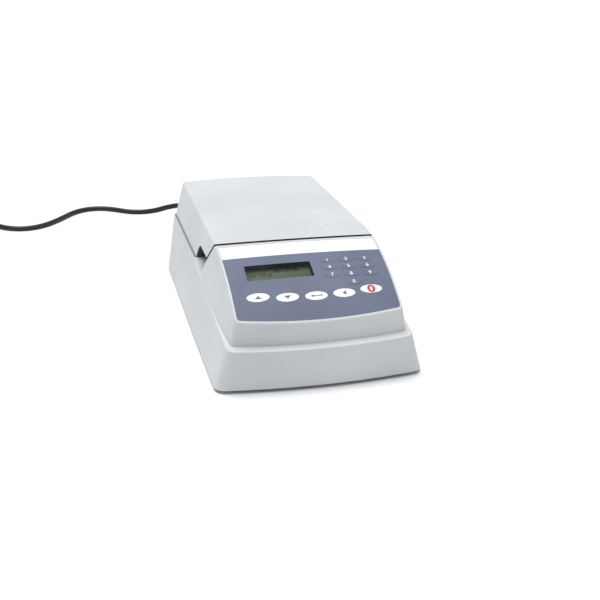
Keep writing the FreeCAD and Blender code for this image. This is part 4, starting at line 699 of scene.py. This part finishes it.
# Each key is a raised oval island of the film over a metal dome. The five large ones are
# printed white with a grey sign, and the ten small ones are slate with a white figure.
print_thickness = 0.08
key_proud = 0.3
large_keys = {"up": -65.8, "down": -32.9, "enter": 0.0, "back": 32.9, "stop": 65.8}
large_from_front = 40.1
large_row_radius = 540.0
digit_middle_x = 48.5
digit_middle_from_front = 77.7
digit_across = 22.7
digit_along = 12.6
digit_size = 6.8
figure_boldness = 0.1
key_gap = 0.35
moat_top = -0.16
moat_low = -0.5
ink_skin = {"grain": 2200.0, "depth": 0.00001}
white_key = moulded("key_white_print", srgb(240, 241, 244), srgb(246, 247, 249), roughness=0.4, **ink_skin)
dress(white_key, *[f"key_{name}" for name in large_keys])
sign_ink = moulded("sign_ink_grey", srgb(88, 92, 104), srgb(98, 102, 114), roughness=0.45, **ink_skin)
stop_ink = moulded("sign_ink_red", srgb(205, 12, 24), srgb(216, 18, 30), roughness=0.45, **ink_skin)
figure_ink = moulded("figure_ink_white", srgb(238, 239, 242), srgb(246, 247, 249), roughness=0.45, **ink_skin)


def cut_print(name, outlines, finish):
    """Flat prints cut from closed outlines, thickened upward from just under the key's top."""
    shape = bmesh.new()
    for outline in outlines:
        low = [shape.verts.new((x, y, -print_thickness)) for x, y in outline]
        high = [shape.verts.new((x, y, print_thickness)) for x, y in outline]
        shape.faces.new(high)
        shape.faces.new(list(reversed(low)))
        for index in range(len(outline)):
            ahead = (index + 1) % len(outline)
            shape.faces.new((low[index], low[ahead], high[ahead], high[index]))
    return new_piece(name, shape, finish)


def ring_print(name, half_size, stroke, finish, low=-print_thickness, high=print_thickness):
    """An oval ring with its own width at its sides and at its ends."""
    half_width, half_height = half_size
    stroke_side, stroke_end = stroke
    corners = 48
    shape = bmesh.new()
    rows = []
    for level_z in (low, high):
        for inset_x, inset_y in ((0.0, 0.0), (stroke_side, stroke_end)):
            rows.append(
                [
                    shape.verts.new(
                        (
                            (half_width - inset_x) * math.cos(math.tau * step / corners),
                            (half_height - inset_y) * math.sin(math.tau * step / corners),
                            level_z,
                        )
                    )
                    for step in range(corners)
                ]
            )
    for first, second in ((0, 1), (1, 3), (3, 2), (2, 0)):
        for step in range(corners):
            ahead = (step + 1) % corners
            shape.faces.new((rows[first][step], rows[first][ahead], rows[second][ahead], rows[second][step]))
    return new_piece(name, shape, finish)


def figure_print(name, words, size, finish, thickness=print_thickness):
    """Printed figures as a flat mesh about the origin."""
    curve = bpy.data.curves.new(name, "FONT")
    curve.body = words
    curve.size = size
    curve.align_x = "CENTER"
    curve.align_y = "CENTER"
    curve.extrude = thickness
    curve.offset = figure_boldness
    holder = bpy.data.objects.new(name + "_curve", curve)
    bpy.context.scene.collection.objects.link(holder)
    bpy.context.view_layer.update()
    drawn_mesh = bpy.data.meshes.new_from_object(holder.evaluated_get(bpy.context.evaluated_depsgraph_get()))
    bpy.data.objects.remove(holder)
    drawn_mesh.name = name
    drawn_mesh.materials.clear()
    drawn_mesh.materials.append(finish.material)
    piece = bpy.data.objects.new(name, drawn_mesh)
    bpy.context.scene.collection.objects.link(piece)
    return piece


def settle(piece, stand, body):
    """Puts a piece's place into its mesh and fixes it to its body."""
    piece.data.transform(stand)
    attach(piece, body)


triangle_half = 3.9
triangle_height = 4.5
arrow_half_length = 6.8
arrow_line = 0.5
arrow_head = 3.6
arrow_head_half = 1.7
arrow_tick = 2.0
triangle_rise = triangle_height / 2
back_half = 3.0
stop_half_size = (4.6, 5.3)
stop_stroke = (3.0, 2.2)
large_half_size = (12.8 + key_gap, 5.9 + key_gap)
digit_half_size = (8.75 + key_gap, 4.2 + key_gap)
moat_stroke = (key_gap, key_gap)
key_signs = {
    "up": [[(-triangle_half, -triangle_rise), (triangle_half, -triangle_rise), (0, triangle_rise)]],
    "down": [[(-triangle_half, triangle_rise), (0, -triangle_rise), (triangle_half, triangle_rise)]],
    "back": [[(-triangle_rise, 0), (triangle_rise, -back_half), (triangle_rise, back_half)]],
    "enter": [
        [
            (-arrow_half_length, 0), (arrow_head - arrow_half_length, -arrow_head_half),
            (arrow_head - arrow_half_length, -arrow_line), (arrow_half_length, -arrow_line),
            (arrow_half_length, arrow_tick), (arrow_half_length - 2 * arrow_line, arrow_tick),
            (arrow_half_length - 2 * arrow_line, arrow_line),
            (arrow_head - arrow_half_length, arrow_line), (arrow_head - arrow_half_length, arrow_head_half),
        ]
    ],
}
for name, x in large_keys.items():
    if name == "stop":
        sign = ring_print("key_stop_sign", stop_half_size, stop_stroke, stop_ink)
    else:
        sign = cut_print(f"key_{name}_sign", key_signs[name], sign_ink)
    from_front = large_from_front + x * x / (2 * large_row_radius)
    settle(sign, panel_frame(x, from_front, key_proud), f"key_{name}_button")
    moat = ring_print(f"key_{name}_moat", large_half_size, moat_stroke, overlay_film, moat_low, moat_top)
    settle(moat, panel_frame(x, from_front), "base")
for number in range(10):
    row = 3 if number == 0 else (number - 1) // 3
    column = 1 if number == 0 else (number - 1) % 3
    from_front = along_panel(digit_middle_from_front, digit_along * (1 - row))
    x = digit_middle_x + (column - 1) * digit_across
    figure = figure_print(f"key_{number}_figure", str(number), digit_size, figure_ink)
    settle(figure, panel_frame(x, from_front, key_proud), f"key_{number}_button")
    moat = ring_print(f"key_{number}_moat", digit_half_size, moat_stroke, overlay_film, moat_low, moat_top)
    settle(moat, panel_frame(x, from_front), "base")

# The keypad under the overlay is a translucent polyester membrane with steel snap domes
# and a flat tail that runs down to the control board.
membrane = moulded("membrane_polyester", srgb(186, 180, 150), srgb(204, 198, 168), roughness=0.3, grain=900.0)
dress(membrane, "keypad_membrane", "keypad_tail")
dress(steel, "key_domes")

# The display is a four-line character module under a clear window. Its glass is grey-green
# with the grid of character cells just showing, and a black bezel frames it.
display_x = -33.8
display_from_front = 77.9
display_depth = 7.6
cell_across = 3.55
cell_along = 5.35
display_columns = 20
display_rows = 4
display_stand = panel_frame(display_x, display_from_front)
display_middle = display_stand.to_translation()
display_right = (display_stand.to_3x3() @ Vector((1, 0, 0))).normalized()
display_up = (display_stand.to_3x3() @ Vector((0, 1, 0))).normalized()
window_film = Finish("clear_window_film", Base_Color=srgb(60, 64, 62), Specular_IOR_Level=0.25)
smear = window_film.ease(window_film.noise(40.0, 4.0), 0.45, 0.75)
window_film.set(Roughness=0.14 + smear * 0.15, Alpha=0.1 + smear * 0.04)
dress(window_film, "display_window")
bezel_finish = moulded("bezel_black", srgb(24, 25, 27), srgb(36, 37, 40), roughness=0.5)
dress(bezel_finish, "display_bezel")
display_glass = Finish("character_glass", Roughness=0.35, Specular_IOR_Level=0.2)
cell_u = abs(display_glass.along(display_right, display_middle).over(cell_across * mm) - 0.5)
cell_v = abs(display_glass.along(display_up, display_middle).over(cell_along * mm) - 0.5)
in_cell = display_glass.ease(cell_u, 0.46, 0.4) * display_glass.ease(cell_v, 0.46, 0.42)
cloud = display_glass.noise(30.0, 3.0)
glass_tone = display_glass.blend(
    display_glass.ease(cloud, 0.35, 0.7), srgb(102, 110, 86), srgb(118, 126, 100)
)
display_glass.set(Base_Color=display_glass.blend(in_cell * 0.2, glass_tone, srgb(78, 88, 68)))
dress(display_glass, "display_glass")

# A black foam gasket lines the window's cut-out from the film down to the bezel; its black also stands in for
# the shade that falls inside the deep recess.
gasket_half = (38.35, 12.5)
gasket_wall = 0.4
gasket_low = -6.75
gasket_high = -0.65
gasket_black_and_shade = moulded(
    "gasket_black_recess_shade", srgb(20, 20, 22), srgb(34, 34, 37), roughness=0.8, grain=900.0, depth=0.0001
)
gasket = bmesh.new()
gasket_rings = []
for level_z in (gasket_low, gasket_high):
    for inset in (0.0, gasket_wall):
        half_x, half_y = gasket_half[0] - inset, gasket_half[1] - inset
        corners = ((-half_x, -half_y), (half_x, -half_y), (half_x, half_y), (-half_x, half_y))
        gasket_rings.append([gasket.verts.new((x, y, level_z)) for x, y in corners])
for first, second in ((0, 1), (1, 3), (3, 2), (2, 0)):
    near, far = gasket_rings[first], gasket_rings[second]
    for corner in range(4):
        beyond = (corner + 1) % 4
        gasket.faces.new((near[corner], near[beyond], far[beyond], far[corner]))
settle(new_piece("display_gasket_recess_shade", gasket, gasket_black_and_shade), display_stand, "base")

# The figures on the display are dark dots of liquid crystal, five across and seven high in a
# cell: a temperature and a time, as the module shows while it counts down.
dot_pitch = (0.64, 0.74)
dot_size = (0.86, 0.9)
figure_rows = {
    "0": (14, 17, 19, 21, 25, 17, 14), "1": (4, 12, 4, 4, 4, 4, 14), "2": (14, 17, 1, 2, 4, 8, 31),
    "3": (31, 2, 4, 2, 1, 17, 14), "5": (31, 16, 30, 1, 1, 17, 14), "7": (31, 1, 2, 4, 8, 8, 8),
    ".": (0, 0, 0, 0, 0, 12, 12), ":": (0, 12, 12, 0, 12, 12, 0),
}
display_lines = {0: (9, "02:15:30"), 1: (0, "12: 37.0")}
dots = []
for line, (first_column, words) in display_lines.items():
    for column, character in enumerate(words):
        for row, bits in enumerate(figure_rows.get(character, ())):
            for bit in range(5):
                if bits >> (4 - bit) & 1:
                    across_cell = (first_column + column - display_columns / 2 + 0.5) * cell_across
                    up_cell = (display_rows / 2 - line - 0.5) * cell_along
                    dot_x = across_cell + (bit - 2) * dot_pitch[0]
                    dot_y = up_cell + (3 - row) * dot_pitch[1]
                    dots.append(display_stand @ Vector((dot_x, dot_y, -display_depth)))
crystal = moulded(
    "liquid_crystal_dark", srgb(8, 11, 10), srgb(14, 18, 16), roughness=0.5, grain=2500.0, depth=0.000005
)
stamp = Growth(
    "display_dots", Size=(dot_size[0] * mm, dot_size[1] * mm, 0.1 * mm),
    Turn=tuple(display_stand.to_euler()), Finish=crystal.material,
)
block = stamp.node("GeometryNodeMeshCube", {}, {"Size": stamp.start["Size"]})
stamped = stamp.node(
    "GeometryNodeInstanceOnPoints", {},
    {"Points": stamp.start["Geometry"], "Instance": block, "Rotation": stamp.start["Turn"]},
)
fix(stamp.grow("display_figures", stamped, dots), "base")
board = Finish("circuit_board_green", Roughness=0.42)
track = board.ease(board.cells(240.0), 0.1, 0.16)
board.set(Base_Color=board.blend(track, srgb(60, 118, 72), srgb(34, 78, 50)))
board.relief(track, 0.00005)
dress(board, "display_board", "control_board", "power_supply")

# Each place on the slide plate has its number, filled with white paint, at its inner end.
plate_y = 102.4
row_pitch = 29.6
place_rows = 6
number_x = 9.0
place_floor_z = 78.8
number_size = 6.0
paint = moulded("number_paint_white", srgb(214, 215, 214), srgb(232, 232, 230), roughness=0.5, grain=1800.0)
for place in range(2 * place_rows):
    row, side = divmod(place, 2)
    number = figure_print(f"place_{place + 1}_number", str(place + 1), number_size, paint)
    spot = (number_x * (2 * side - 1), plate_y + ((place_rows - 1) / 2 - row) * row_pitch, place_floor_z)
    stand = Matrix.Translation(Vector(spot) * mm) @ Matrix.Scale(mm, 4)
    settle(number, stand, "base")

# The temperature sensor is a steel bulb, and the thermal cutout a small black switch in a strap.
dress(steel, "temperature_sensor")
black_plastic = moulded(
    "black_polycarbonate", srgb(26, 26, 28), srgb(40, 40, 43), roughness=0.38, grain=1300.0
)
dress(black_plastic, "thermal_cutout")

# The rear panel parts are black polycarbonate: the inlet with its fuse drawer, and the power
# switch, whose rocker is printed with the usual line and circle.
dress(black_plastic, "power_inlet", "fuse_drawer", "switch_housing", "switch_rocker")
rocker_skin = BVHTree.FromPolygons(
    [vertex.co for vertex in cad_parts["switch_rocker"].data.vertices],
    [tuple(polygon.vertices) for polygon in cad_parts["switch_rocker"].data.polygons],
)
rocker_low, rocker_high = [Vector(corner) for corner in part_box("switch_rocker")]
rocker_middle = (rocker_low + rocker_high) / 2
rocker_sign_rise = 6.0
line_half = (0.45, 2.2)
circle_half_size = (2.2, 2.2)
circle_stroke = (0.7, 0.7)
line_sign = [(x, y) for x, y in ((-1, -1), (1, -1), (1, 1), (-1, 1))]
line_sign = [(x * line_half[0], y * line_half[1]) for x, y in line_sign]
for name, rise in (("on", rocker_sign_rise), ("off", -rocker_sign_rise)):
    if name == "on":
        sign = cut_print("rocker_on_sign", [line_sign], figure_ink)
    else:
        sign = ring_print("rocker_off_sign", circle_half_size, circle_stroke, figure_ink)
    start = Vector((rocker_middle.x, rocker_high.y + 0.01, rocker_middle.z + rise * mm))
    landing, out = rocker_skin.ray_cast(start, Vector((0, -1, 0)))[:2]
    upright = (Vector((0, 0, 1)) - out * out.z).normalized()
    stand = Matrix((upright.cross(out), upright, out)).transposed().to_4x4()
    settle(sign, Matrix.Translation(landing) @ stand @ Matrix.Scale(mm, 4), "rocker")

# The bench is a plain white sheet that runs out of the picture, under a broad soft light from
# above and a little behind and left, with a pale sky all round.
bench_half = 30.0
bench_mesh = bpy.data.meshes.new("bench")
bench_corners = [(x * bench_half, y * bench_half, 0) for x, y in ((-1, -1), (1, -1), (1, 1), (-1, 1))]
bench_mesh.from_pydata(bench_corners, [], [(0, 1, 2, 3)])
bench = bpy.data.objects.new("bench", bench_mesh)
bpy.context.scene.collection.objects.link(bench)
paper = Finish("white_paper_sweep", Roughness=0.7, Specular_IOR_Level=0.2)
paper.set(Base_Color=paper.blend(paper.noise(3.0, 2.0), srgb(243, 244, 246), srgb(246, 247, 249)))
bench_mesh.materials.append(paper.material)

sun_data = bpy.data.lights.new("soft_light", "SUN")
sun_data.energy = 2.6
sun_data.color = (0.955, 0.975, 1.0)
sun_data.angle = math.radians(40.0)
sun = bpy.data.objects.new("soft_light", sun_data)
sun.rotation_euler = Vector((-0.1, 0.14, 1.0)).to_track_quat("Z", "Y").to_euler()
bpy.context.scene.collection.objects.link(sun)
sky = bpy.data.worlds.new("studio_sky")
sky.use_nodes = True
sky_light = next(n for n in sky.node_tree.nodes if n.type == "BACKGROUND")
sky_light.inputs["Color"].default_value = (0.985, 0.99, 1.0, 1.0)
sky_light.inputs["Strength"].default_value = 0.42
bpy.context.scene.world = sky
